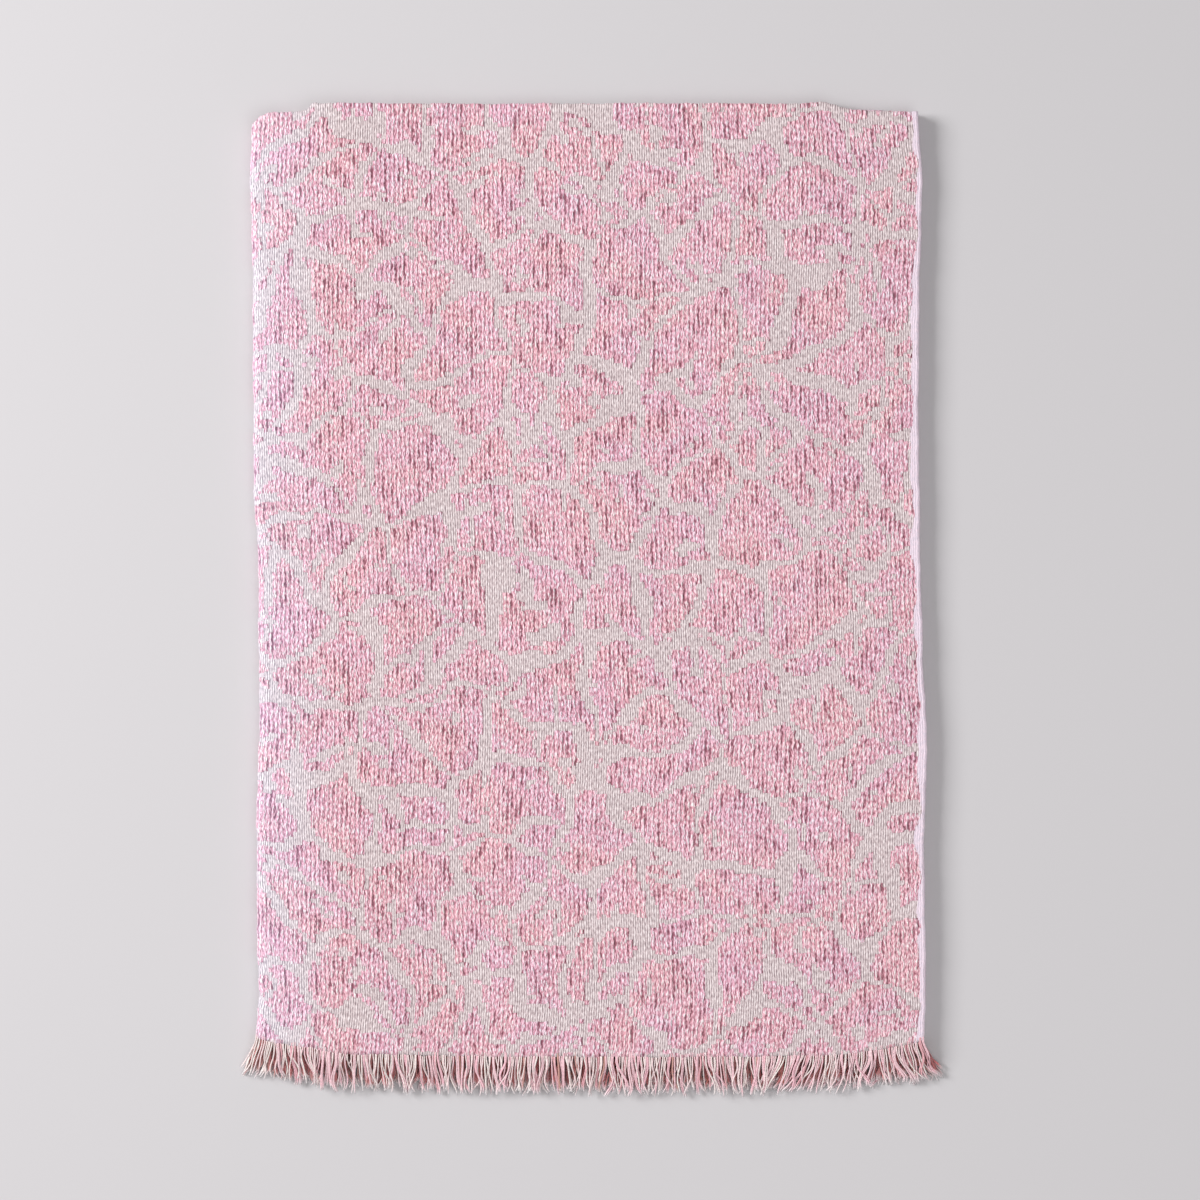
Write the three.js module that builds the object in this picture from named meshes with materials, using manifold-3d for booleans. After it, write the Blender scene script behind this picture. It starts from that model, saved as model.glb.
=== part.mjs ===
// Armchair throw, folded in quarters: a woven cloth with a cut fringe at each end.
// Millimetres, +Z up. The cloth is folded in half along its length, with the crest of that
// fold towards +Y, and then in half across its width, with that fold towards -X. Both fringed
// ends lie towards -Y and all four selvedge edges towards +X.

import * as THREE from "three";
import { mergeVertices } from "three/addons/utils/BufferGeometryUtils.js";
import Module from "manifold-3d";

// Driving dimensions
const FOLDED_WIDTH = 600; // half the width of the flat cloth
const FOLDED_LENGTH = 852; // half the length of the flat cloth, without its fringe
const CLOTH_THICKNESS = 2.6;
const LAYER_PITCH = 4.2; // from the middle of one layer to the middle of the next
const FOLD_RADIUS = 4.4; // of the wide fold, at the middle of the doubled cloth
const FOLD_SLOPE = THREE.MathUtils.degToRad(10); // where the top starts to turn down into it
const FOLD_SHOULDER_DROP = 3; // from the raised shoulder down to that place
const FOLD_SHOULDER_WIDTH = 62; // from the shoulder to that place
const FOLD_RISE_WIDTH = 140; // over which the flat top rises to the shoulder
const SELVEDGE_ZONE_WIDTH = 90; // finer columns here, where the hem and the crest curve most
const LOWER_EDGE_SHOWS = 1.2; // how far the lower selvedges reach past the upper ones
const PIECE_GAP = 0.3; // between the cloth's hem and the fringe
const HEADING_WIDTH = 3; // woven strip that the strands grow from
const STRAND_LENGTH = 32;
const STRAND_LENGTH_SPREAD = 3.5; // either way
const STRAND_LEAN = 1.5; // sideways at the tip, either way
const STRAND_WIDTH = 3.4;
const STRAND_TIP_WIDTH = 2.2;
const STRAND_HEIGHT = 2.1;
const STRANDS_PER_FRINGE = 150;
const FRINGE_SINK = 0.42; // share of its height that a strand has lost at its tip

// Steps of the faceted surfaces
const LEG_STEPS = 14;
const CREST_STEPS = 6;
const STRAND_STEPS = 2;
const SAME_PLACE = 1e-4;

// Finishes
const CLOTH_COLOUR = 0xd9b7bf;
const UPPER_FRINGE_COLOUR = 0xdcbcc0;
const LOWER_FRINGE_COLOUR = 0xc9a3a6;
const CLOTH_ROUGHNESS = 0.95;
const YARN_ROUGHNESS = 0.9;

// Places worked out from the dimensions
const HALF_THICKNESS = CLOTH_THICKNESS / 2;
const HALF_PITCH = LAYER_PITCH / 2;
const PAIR_REACH = HALF_PITCH + HALF_THICKNESS;
const LOW_PAIR_Z = PAIR_REACH;
const HIGH_PAIR_Z = LOW_PAIR_Z + 2 * LAYER_PITCH;
const RIGHT_X = FOLDED_WIDTH / 2;
const FOLD_X = -FOLDED_WIDTH / 2 + FOLD_RADIUS + PAIR_REACH;
const CREST_Y = FOLDED_LENGTH / 2 - PAIR_REACH;
const HEM_Y = -FOLDED_LENGTH / 2;

// How the crest of the half fold and the two hems stray from straight lines.
// at: distance along the doubled cloth, from its upper selvedge through the wide fold
// crest: shift of the crest along Y; outerHem, innerHem: shift of each hem along Y
const EDGE_SHIFTS = [
  { at: 0, crest: -7, outerHem: 15, innerHem: 17 },
  { at: 25, crest: -7, outerHem: 9, innerHem: 12 },
  { at: 60, crest: -5, outerHem: 3.5, innerHem: 8 },
  { at: 84, crest: 1.5, outerHem: 2, innerHem: 6 },
  { at: 110, crest: 0, outerHem: 1, innerHem: 5 },
  { at: 200, crest: 0.5, outerHem: 0, innerHem: 4 },
  { at: 400, crest: 0, outerHem: 0.5, innerHem: 4 },
  { at: 520, crest: 0, outerHem: 3.5, innerHem: 6 },
  { at: 545, crest: -3, outerHem: 7, innerHem: 9 },
  { at: 558, crest: -6.5, outerHem: 10, innerHem: 11 },
  { at: 580, crest: -8, outerHem: 13.5, innerHem: 14 },
  { at: 600, crest: -15, outerHem: 19, innerHem: 19 },
  { at: 615, crest: -11, outerHem: 17, innerHem: 17 },
  { at: 650, crest: -3, outerHem: 10, innerHem: 12 },
  { at: 720, crest: -1.5, outerHem: 6, innerHem: 9 },
  { at: 900, crest: -2, outerHem: 4, innerHem: 7 },
  { at: 1100, crest: -2.5, outerHem: 4, innerHem: 7 },
  { at: 1170, crest: -5, outerHem: 8, innerHem: 11 },
  { at: 1205, crest: -8, outerHem: 13, innerHem: 15 },
];

// How the two long sides stray from straight lines: shifts along X at places along Y
const SIDE_SHIFTS = [
  { y: -420, left: -1, right: -1.5 },
  { y: -375, left: 3, right: 0 },
  { y: -300, left: 1.5, right: -1 },
  { y: -220, left: 1, right: -1.5 },
  { y: -135, left: 3.5, right: 1.5 },
  { y: -85, left: 3.5, right: -2.5 },
  { y: 20, left: 2.5, right: -5 },
  { y: 75, left: -1, right: -6 },
  { y: 145, left: -2, right: -6.5 },
  { y: 235, left: -2, right: -6.5 },
  { y: 300, left: -3, right: -4.5 },
  { y: 365, left: -4.5, right: -3.5 },
  { y: 410, left: -3, right: -7 },
];

// Soft swells and hollows in the stack: centre, half widths and share of the height
const SWELLS = [
  { x: 40, y: 470, wide: 420, long: 120, rise: 0.16 },
  { x: -98, y: 300, wide: 16, long: 190, rise: -0.05 },
  { x: -20, y: 190, wide: 55, long: 150, rise: 0.05 },
  { x: 170, y: 330, wide: 60, long: 90, rise: 0.06 },
  { x: 120, y: 20, wide: 90, long: 70, rise: -0.05 },
  { x: -150, y: -40, wide: 70, long: 110, rise: 0.05 },
  { x: 210, y: -190, wide: 60, long: 120, rise: 0.05 },
  { x: -60, y: -290, wide: 110, long: 60, rise: -0.06 },
  { x: -230, y: -330, wide: 50, long: 90, rise: 0.05 },
];

// Sideways spread of the strand tips at places along X
const TIP_SPREAD = [
  { x: -300, shift: -11 },
  { x: -285, shift: -7 },
  { x: -250, shift: -2 },
  { x: 0, shift: 0 },
  { x: 245, shift: 2 },
  { x: 280, shift: 9 },
  { x: 300, shift: 17 },
];

// A column's value at a place along another column, which goes up from row to row
function readTable(rows, placeName, columnName, place) {
  const found = rows.findIndex((row) => row[placeName] >= place);
  const next = found < 0 ? rows.length - 1 : Math.max(found, 1);
  const before = rows[next - 1];
  const after = rows[next];
  const share = (place - before[placeName]) / (after[placeName] - before[placeName]);
  const held = THREE.MathUtils.clamp(share, 0, 1);
  return THREE.MathUtils.lerp(before[columnName], after[columnName], held);
}

// A repeatable value from -1 to 1 for a strand and a purpose
function wander(strand, purpose) {
  const wave = Math.sin(strand * 12.9898 + purpose * 78.233) * 43758.5453;
  return 2 * (wave - Math.floor(wave)) - 1;
}

// Shifts a point of the straight stack to where the soft cloth lies. The floor stays level.
function drape(x, y, z) {
  const across = THREE.MathUtils.clamp(x / FOLDED_WIDTH + 0.5, 0, 1);
  const left = readTable(SIDE_SHIFTS, "y", "left", y);
  const right = readTable(SIDE_SHIFTS, "y", "right", y);
  let height = z;
  for (const swell of SWELLS) {
    const away = ((x - swell.x) / swell.wide) ** 2 + ((y - swell.y) / swell.long) ** 2;
    height += z * swell.rise * Math.exp(-away);
  }
  return new THREE.Vector3(x + THREE.MathUtils.lerp(left, right, across), y, height);
}

// The middle of the doubled cloth seen from the hems: from the upper selvedge, over the
// shoulder, round the wide fold and back along the floor. Each curve has its own step count.
function makeFoldCurves() {
  const foldCentreZ = LOW_PAIR_Z + FOLD_RADIUS;
  const turnStart = new THREE.Vector2(
    FOLD_X - FOLD_RADIUS * Math.sin(FOLD_SLOPE),
    foldCentreZ + FOLD_RADIUS * Math.cos(FOLD_SLOPE),
  );
  const shoulderZ = turnStart.y + FOLD_SHOULDER_DROP;
  const shoulder = new THREE.Vector2(turnStart.x + FOLD_SHOULDER_WIDTH, shoulderZ);
  const shoulderPull = new THREE.Vector2(
    turnStart.x + FOLD_SHOULDER_DROP / Math.tan(FOLD_SLOPE),
    shoulderZ,
  );
  const riseStart = new THREE.Vector2(shoulder.x + FOLD_RISE_WIDTH, HIGH_PAIR_Z);
  const zoneEnd = new THREE.Vector2(RIGHT_X - SELVEDGE_ZONE_WIDTH, HIGH_PAIR_Z);
  const upperEnd = new THREE.Vector2(RIGHT_X, HIGH_PAIR_Z);
  const lowerTurnEnd = new THREE.Vector2(FOLD_X, LOW_PAIR_Z);
  const lowerEnd = new THREE.Vector2(RIGHT_X + LOWER_EDGE_SHOWS, LOW_PAIR_Z);
  const halfRise = FOLD_RISE_WIDTH / 2;
  return [
    { steps: 4, curve: new THREE.LineCurve(upperEnd, zoneEnd) },
    { steps: 5, curve: new THREE.LineCurve(zoneEnd, riseStart) },
    {
      steps: 4,
      curve: new THREE.CubicBezierCurve(
        riseStart,
        new THREE.Vector2(riseStart.x - halfRise, riseStart.y),
        new THREE.Vector2(shoulder.x + halfRise, shoulder.y),
        shoulder,
      ),
    },
    { steps: 4, curve: new THREE.QuadraticBezierCurve(shoulder, shoulderPull, turnStart) },
    {
      steps: 7,
      curve: new THREE.EllipseCurve(
        FOLD_X,
        foldCentreZ,
        FOLD_RADIUS,
        FOLD_RADIUS,
        Math.PI / 2 + FOLD_SLOPE,
        1.5 * Math.PI,
      ),
    },
    { steps: 12, curve: new THREE.LineCurve(lowerTurnEnd, lowerEnd) },
  ];
}

// The point at a share of one curve, with its outward normal and its distance along them all
function stationOn(curve, share, distance) {
  const point = curve.getPointAt(share);
  const tangent = curve.getTangentAt(share);
  return {
    x: point.x,
    z: point.y,
    tangentX: tangent.x,
    tangentZ: tangent.y,
    normalX: tangent.y,
    normalZ: -tangent.x,
    at: distance + share * curve.getLength(),
  };
}

// Every station that the surfaces are drawn through
function makeStations(foldCurves) {
  const stations = [stationOn(foldCurves[0].curve, 0, 0)];
  let distance = 0;
  for (const { steps, curve } of foldCurves) {
    for (let step = 1; step <= steps; step += 1) {
      stations.push(stationOn(curve, step / steps, distance));
    }
    distance += curve.getLength();
  }
  return stations;
}

// The station at any distance along the doubled cloth
function stationAt(foldCurves, at) {
  let distance = 0;
  for (const { curve } of foldCurves) {
    const length = curve.getLength();
    if (at <= distance + length) {
      return stationOn(curve, (at - distance) / length, distance);
    }
    distance += length;
  }
  return stationOn(foldCurves[foldCurves.length - 1].curve, 1, distance);
}

// A point off the doubled cloth's middle, before the cloth is draped
function offMiddle(station, across, y) {
  return [station.x + station.normalX * across, y, station.z + station.normalZ * across];
}

// Rows from the outer hem over the crest to the inner hem. turn goes from 0 on the outer leg
// to half a turn on the inner leg, and share from 0 at a hem to 1 at the crest.
function makeClothRows() {
  const rows = [];
  for (let step = 0; step < LEG_STEPS; step += 1) {
    rows.push({ turn: 0, hem: "outerHem", share: step / LEG_STEPS });
  }
  for (let step = 0; step <= CREST_STEPS; step += 1) {
    rows.push({ turn: (Math.PI * step) / CREST_STEPS, hem: "innerHem", share: 1 });
  }
  for (let step = 1; step <= LEG_STEPS; step += 1) {
    rows.push({ turn: Math.PI, hem: "innerHem", share: 1 - step / LEG_STEPS });
  }
  return rows;
}

function clothPoint(station, row, depth) {
  const reach = HALF_PITCH + depth;
  const hemY = HEM_Y + readTable(EDGE_SHIFTS, "at", row.hem, station.at);
  const crestY = CREST_Y + readTable(EDGE_SHIFTS, "at", "crest", station.at);
  const y = THREE.MathUtils.lerp(hemY, crestY, row.share) + Math.sin(row.turn) * reach;
  return drape(...offMiddle(station, Math.cos(row.turn) * reach, y));
}

// A closed sheet from a grid of its face and a grid of its back. pointAt takes the column,
// the row and the side, 1 for the face and -1 for the back.
function closedSheet(columnCount, rowCount, pointAt) {
  const places = [];
  for (const side of [1, -1]) {
    for (let column = 0; column < columnCount; column += 1) {
      for (let row = 0; row < rowCount; row += 1) {
        places.push(...pointAt(column, row, side).toArray());
      }
    }
  }
  const backStart = columnCount * rowCount;
  const face = (column, row) => column * rowCount + row;
  const back = (column, row) => backStart + column * rowCount + row;
  const index = [];
  const quad = (a, b, c, d) => index.push(a, b, c, a, c, d);
  for (let column = 0; column + 1 < columnCount; column += 1) {
    for (let row = 0; row + 1 < rowCount; row += 1) {
      const [c, r] = [column, row];
      quad(face(c, r), face(c, r + 1), face(c + 1, r + 1), face(c + 1, r));
      quad(back(c, r), back(c + 1, r), back(c + 1, r + 1), back(c, r + 1));
    }
  }
  for (let column = 0; column + 1 < columnCount; column += 1) {
    const [c, last] = [column, rowCount - 1];
    quad(face(c, 0), face(c + 1, 0), back(c + 1, 0), back(c, 0));
    quad(face(c, last), back(c, last), back(c + 1, last), face(c + 1, last));
  }
  for (let row = 0; row + 1 < rowCount; row += 1) {
    const [r, last] = [row, columnCount - 1];
    quad(face(0, r), back(0, r), back(0, r + 1), face(0, r + 1));
    quad(face(last, r), face(last, r + 1), back(last, r + 1), back(last, r));
  }
  const geometry = new THREE.BufferGeometry();
  geometry.setAttribute("position", new THREE.Float32BufferAttribute(places, 3));
  geometry.setIndex(index);
  return geometry;
}

function makeCloth(stations) {
  const rows = makeClothRows();
  return closedSheet(stations.length, rows.length, (column, row, side) =>
    clothPoint(stations[column], rows[row], side * HALF_THICKNESS),
  );
}

// The woven heading of one fringe, which follows its hem through the whole fold
function makeHeading(stations, hem, legSign) {
  return closedSheet(stations.length, 2, (column, row, side) => {
    const station = stations[column];
    const hemY = HEM_Y + readTable(EDGE_SHIFTS, "at", hem, station.at);
    const top = hemY - PIECE_GAP;
    const onFreeSide = (row === 0) === (legSign > 0);
    const y = onFreeSide ? top - HEADING_WIDTH : top;
    const across = legSign * (HALF_PITCH + side * HALF_THICKNESS);
    return drape(...offMiddle(station, across, y));
  });
}

// One strand with a triangle for its section, flat side down. It starts inside the heading,
// leaves it towards -Y and sinks with the layers below it, no lower than the floor.
function makeStrand(station, hem, legSign, strand) {
  const headingEnd =
    HEM_Y + readTable(EDGE_SHIFTS, "at", hem, station.at) - PIECE_GAP - HEADING_WIDTH;
  const length = STRAND_LENGTH + STRAND_LENGTH_SPREAD * wander(strand, 1);
  const lean = STRAND_LEAN * wander(strand, 2);
  const downSign = station.normalZ < 0 ? 1 : -1;
  const places = [];
  for (let step = 0; step <= STRAND_STEPS + 1; step += 1) {
    const inHeading = step === 0;
    const share = inHeading ? 0 : (step - 1) / STRAND_STEPS;
    const out = inHeading ? -HEADING_WIDTH / 2 : share * length;
    const width = THREE.MathUtils.lerp(STRAND_WIDTH, STRAND_TIP_WIDTH, share);
    const onFloor = share > 0;
    const base = onFloor ? HALF_THICKNESS : HALF_THICKNESS - PIECE_GAP;
    const corners = [
      { along: -width / 2, depth: base },
      { along: width / 2, depth: base },
      { along: 0, depth: HALF_THICKNESS - STRAND_HEIGHT },
    ];
    for (const { along, depth } of corners) {
      const across = legSign * HALF_PITCH + downSign * depth;
      const [x, y, z] = offMiddle(station, across, headingEnd - out);
      const slide = along + lean * share ** 2;
      const spread = readTable(TIP_SPREAD, "x", "shift", x) * share ** 1.5;
      const settled = 1 - FRINGE_SINK * THREE.MathUtils.smoothstep(out / STRAND_LENGTH, 0, 1);
      const place = drape(x + station.tangentX * slide, y, z + station.tangentZ * slide);
      places.push(place.x + spread, place.y, Math.max(place.z * settled, 0));
    }
  }
  const index = [];
  for (let step = 0; step <= STRAND_STEPS; step += 1) {
    for (let corner = 0; corner < 3; corner += 1) {
      const a = step * 3 + corner;
      const b = step * 3 + ((corner + 1) % 3);
      index.push(a, b, b + 3, a, b + 3, a + 3);
    }
  }
  const tip = (STRAND_STEPS + 1) * 3;
  index.push(0, 2, 1, tip, tip + 1, tip + 2);
  const geometry = new THREE.BufferGeometry();
  geometry.setAttribute("position", new THREE.Float32BufferAttribute(places, 3));
  geometry.setIndex(downSign > 0 ? index : index.reverse());
  return geometry;
}

const wasm = await Module();
wasm.setup();

function toSolid(geometry) {
  const merged = mergeVertices(geometry, SAME_PLACE);
  return new wasm.Manifold(
    new wasm.Mesh({
      numProp: 3,
      vertProperties: new Float32Array(merged.getAttribute("position").array),
      triVerts: new Uint32Array(merged.getIndex().array),
    }),
  );
}

function toGeometry(solid) {
  const mesh = solid.getMesh();
  const geometry = new THREE.BufferGeometry();
  geometry.setAttribute("position", new THREE.BufferAttribute(mesh.vertProperties, 3));
  geometry.setIndex(new THREE.BufferAttribute(mesh.triVerts, 1));
  return geometry;
}

// A fringe: its heading with every strand's root fused into it. legSign is 1 on the outer leg
// of the doubled cloth and -1 on the inner one.
function makeFringe(foldCurves, stations, hem, legSign) {
  const clothWidth = stations[stations.length - 1].at;
  const pitch = clothWidth / STRANDS_PER_FRINGE;
  let fringe = toSolid(makeHeading(stations, hem, legSign));
  for (let strand = 0; strand < STRANDS_PER_FRINGE; strand += 1) {
    const station = stationAt(foldCurves, (strand + 0.5) * pitch);
    fringe = fringe.add(toSolid(makeStrand(station, hem, legSign, strand)));
  }
  return toGeometry(fringe);
}

function namedMesh(name, geometry, colour, roughness) {
  const material = new THREE.MeshStandardMaterial({ color: colour, roughness, metalness: 0 });
  geometry.computeVertexNormals();
  const mesh = new THREE.Mesh(geometry, material);
  mesh.name = name;
  return mesh;
}

const foldCurves = makeFoldCurves();
const stations = makeStations(foldCurves);
const cloth = makeCloth(stations);
const outerFringe = makeFringe(foldCurves, stations, "outerHem", 1);
const innerFringe = makeFringe(foldCurves, stations, "innerHem", -1);

const throwGroup = new THREE.Group();
throwGroup.add(namedMesh("cloth", cloth, CLOTH_COLOUR, CLOTH_ROUGHNESS));
throwGroup.add(namedMesh("fringe_outer", outerFringe, UPPER_FRINGE_COLOUR, YARN_ROUGHNESS));
throwGroup.add(namedMesh("fringe_inner", innerFringe, LOWER_FRINGE_COLOUR, YARN_ROUGHNESS));

// The origin stands under the middle of the folded throw
const middle = new THREE.Box3().setFromObject(throwGroup).getCenter(new THREE.Vector3());
throwGroup.position.set(-middle.x, -middle.y, 0);
throwGroup.updateMatrixWorld(true);

export default throwGroup;
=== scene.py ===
"""Folded armchair throw: a ribbed jacquard cloth folded in quarters, with a cut fringe at each end.

The cloth is one closed sheet that lies along the same folds as its solid. Its ribs are raised
where the pink yarn floats, and the pale network lies lower. The network is a generic crackle
design in the colours and at the scale of the real one. Metres and radians, unless a name or a
docstring says millimetres.
"""

import logging
import math
from dataclasses import dataclass, field, fields
from enum import Enum

import bmesh
import bpy
import numpy as np
from bpy.types import Material, Mesh, Node, NodeSocket, NodeTree, Object
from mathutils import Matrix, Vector


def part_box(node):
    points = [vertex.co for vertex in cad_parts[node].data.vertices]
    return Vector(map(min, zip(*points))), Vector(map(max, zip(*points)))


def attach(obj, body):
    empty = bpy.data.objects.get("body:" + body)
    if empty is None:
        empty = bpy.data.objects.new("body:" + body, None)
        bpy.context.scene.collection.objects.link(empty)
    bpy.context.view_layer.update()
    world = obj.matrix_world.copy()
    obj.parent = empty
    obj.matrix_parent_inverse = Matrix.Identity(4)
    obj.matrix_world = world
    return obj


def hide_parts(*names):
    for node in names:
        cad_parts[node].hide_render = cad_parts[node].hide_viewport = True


MM = 0.001
SEED = 2209
PLACE_MAP = "flat_place"
SIDE_MAP = "cloth_side"
YARN_MAP = "yarn_place"
TONE_MAP = "yarn_tone"
BAKE_MAP = "OFBake"
HEIGHT_MAP = "weave_height"

# How much a grid line's number, a length and a share of a face's corners may be off.
LINE_SLACK = 1e-3
LENGTH_SLACK = 1e-6
SHARE_SLACK = 0.01

# A Span is a low and a high value and what they become. A Place is X, Y and Z.
Span = tuple[float, float, float, float]
Place = tuple[float, float, float]

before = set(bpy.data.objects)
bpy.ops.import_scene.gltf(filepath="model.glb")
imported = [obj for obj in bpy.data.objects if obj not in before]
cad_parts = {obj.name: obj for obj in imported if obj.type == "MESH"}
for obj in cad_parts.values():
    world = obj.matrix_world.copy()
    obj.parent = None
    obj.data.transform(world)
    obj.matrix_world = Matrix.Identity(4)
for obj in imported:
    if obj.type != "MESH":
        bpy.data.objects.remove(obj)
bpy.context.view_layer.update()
log = logging.getLogger("folded_throw")


class Leg(Enum):
    """The two legs of the half fold."""

    OUTER = "outer"
    INNER = "inner"

    @property
    def sign(self) -> int:
        """The side of the doubled cloth's middle that the leg lies on."""
        return 1 if self is Leg.OUTER else -1


@dataclass(frozen=True)
class ThrowSizes:
    """Sizes of the folded throw, the same as its solids have."""

    folded_width: float = 600 * MM
    folded_length: float = 852 * MM
    thickness: float = 2.6 * MM
    layer_pitch: float = 4.2 * MM
    fold_radius: float = 4.4 * MM
    fold_slope: float = math.radians(10)
    shoulder_drop: float = 3 * MM
    shoulder_width: float = 62 * MM
    rise_width: float = 140 * MM
    lower_edge_shows: float = 1.2 * MM
    usual_height: float = 15 * MM

    @property
    def half_pitch(self) -> float:
        """From the middle of the doubled cloth to the middle of one of its layers."""
        return self.layer_pitch / 2

    @property
    def pair_reach(self) -> float:
        """From the middle of the doubled cloth to its outer face."""
        return (self.layer_pitch + self.thickness) / 2

    @property
    def fold_x(self) -> float:
        """Centre of the wide fold's turn."""
        return -self.folded_width / 2 + self.fold_radius + self.pair_reach

    @property
    def hem_y(self) -> float:
        """Where a straight hem would lie."""
        return -self.folded_length / 2

    @property
    def leg_length(self) -> float:
        """From a hem to the start of the half fold's turn."""
        return self.folded_length - self.pair_reach

    @property
    def crest_length(self) -> float:
        """Round the half fold's turn, in the middle of the layer."""
        return math.pi * self.half_pitch

    @property
    def cloth_length(self) -> float:
        """From the outer hem to the inner hem."""
        return 2 * self.leg_length + self.crest_length


@dataclass(frozen=True)
class SoftCurve:
    """A line set through a few given places, with its corners rounded off."""

    places: tuple[float, ...]
    shifts: tuple[float, ...]
    softness: float = 1.8 * MM
    beyond: float = 30 * MM

    def read(self, place: np.ndarray) -> np.ndarray:
        """The shift at each place.

        Args:
            place: where along the line to read it.

        Returns:
            One shift for each place.
        """
        reach = int(4 * self.softness / MM)
        fine = np.arange(self.places[0] - self.beyond, self.places[-1] + self.beyond, MM)
        raw = np.pad(np.interp(fine, self.places, self.shifts), reach, mode="edge")
        taps = np.exp(-0.5 * (np.arange(-reach, reach + 1) * MM / self.softness) ** 2)
        return np.interp(place, fine, np.convolve(raw, taps / taps.sum(), mode="valid"))


@dataclass(frozen=True)
class Wander:
    """A small repeatable stray along a line, made of a few waves."""

    seed: int
    height: float
    lengths: tuple[float, ...]

    def read(self, place: np.ndarray) -> np.ndarray:
        """Reads the waves.

        Args:
            place: where along the line to read them.

        Returns:
            The stray at each place, from -height to height.
        """
        starts = np.random.default_rng(self.seed).uniform(0, 2 * math.pi, len(self.lengths))
        waves = [np.sin(2 * math.pi * place / n + s) for n, s in zip(self.lengths, starts)]
        return self.height * sum(waves) / len(waves)


@dataclass(frozen=True)
class SlantedWaves:
    """Waves over the whole stack that run one way, with that way's share of X and of Y."""

    stray: Wander
    along_x: float
    along_y: float


@dataclass(frozen=True)
class EdgeShift:
    """How the crest and the hems stray in Y at one distance along the doubled cloth, in mm."""

    at: float
    crest: float
    outer_hem: float
    inner_hem: float


@dataclass(frozen=True)
class SideShift:
    """How the long sides stray in X at one place along Y, in mm."""

    y: float
    left: float
    right: float


@dataclass(frozen=True)
class Swell:
    """A soft swell, hollow or crease in the stack, in mm, with its share of the height."""

    x: float
    y: float
    wide: float
    long: float
    rise: float


@dataclass(frozen=True)
class TipShift:
    """Sideways spread of the strand tips at one place along X, in mm."""

    x: float
    shift: float


EDGE_SHIFTS = (
    EdgeShift(0, -7, 15, 17),
    EdgeShift(25, -7, 9, 12),
    EdgeShift(60, -5, 3.5, 8),
    EdgeShift(84, 1.5, 2, 6),
    EdgeShift(110, 0, 1, 5),
    EdgeShift(200, 0.5, 0, 4),
    EdgeShift(400, 0, 0.5, 4),
    EdgeShift(520, 0, 3.5, 6),
    EdgeShift(537, 0, 6, 8),
    EdgeShift(542, 1.2, 7, 9),
    EdgeShift(546, -0.5, 8, 9.5),
    EdgeShift(548.5, -7, 8.5, 10),
    EdgeShift(560, -7.5, 10, 11),
    EdgeShift(584, -8.5, 13.5, 14),
    EdgeShift(592, -12, 16, 16),
    EdgeShift(600, -18, 19, 19),
    EdgeShift(615, -11, 17, 17),
    EdgeShift(650, -3, 10, 12),
    EdgeShift(720, -1.5, 6, 9),
    EdgeShift(900, -2, 4, 7),
    EdgeShift(1100, -2.5, 4, 7),
    EdgeShift(1170, -5, 8, 11),
    EdgeShift(1205, -8, 13, 15),
)

SIDE_SHIFTS = (
    SideShift(-420, -1, -1.5),
    SideShift(-375, 3, 0),
    SideShift(-300, 1.5, -1),
    SideShift(-220, 1, -1.5),
    SideShift(-135, 3.5, 1.5),
    SideShift(-85, 3.5, -2.5),
    SideShift(20, 2.5, -5),
    SideShift(75, -1, -6),
    SideShift(145, -2, -6.5),
    SideShift(235, -2, -6.5),
    SideShift(300, -3, -4.5),
    SideShift(365, -4.5, -3.5),
    SideShift(410, -3, -7),
)

SWELLS = (
    Swell(40, 470, 420, 120, 0.16),
    Swell(-98, 300, 16, 190, -0.05),
    Swell(-20, 190, 55, 150, 0.05),
    Swell(170, 330, 60, 90, 0.06),
    Swell(120, 20, 90, 70, -0.05),
    Swell(-150, -40, 70, 110, 0.05),
    Swell(210, -190, 60, 120, 0.05),
    Swell(-60, -290, 110, 60, -0.06),
    Swell(-230, -330, 50, 90, 0.05),
)

TIP_SHIFTS = (
    TipShift(-300, -12),
    TipShift(-292, -7),
    TipShift(-282, -2),
    TipShift(-268, 2),
    TipShift(-245, 2),
    TipShift(-215, 0),
    TipShift(0, 0),
    TipShift(140, 2),
    TipShift(156, -3),
    TipShift(170, -8),
    TipShift(195, -9),
    TipShift(225, -7),
    TipShift(248, -2),
    TipShift(268, 3),
    TipShift(283, 9),
    TipShift(300, 17),
)


def soft_curve(rows: tuple, place: str, column: str) -> SoftCurve:
    """A soft curve through one column of a table in millimetres.

    Args:
        rows: the table's rows, in order.
        place: the name of the column that the curve is read by.
        column: the name of the column that it gives.

    Returns:
        The curve in metres.
    """
    places = tuple(getattr(row, place) * MM for row in rows)
    return SoftCurve(places, tuple(getattr(row, column) * MM for row in rows))


def ease(value: np.ndarray, low: float, high: float) -> np.ndarray:
    """Goes softly from 0 at low to 1 at high.

    Args:
        value: the numbers to look up.
        low: where the result leaves 0.
        high: where it reaches 1.

    Returns:
        One share for each number.
    """
    share = np.clip((value - low) / (high - low), 0, 1)
    return share * share * (3 - 2 * share)


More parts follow.
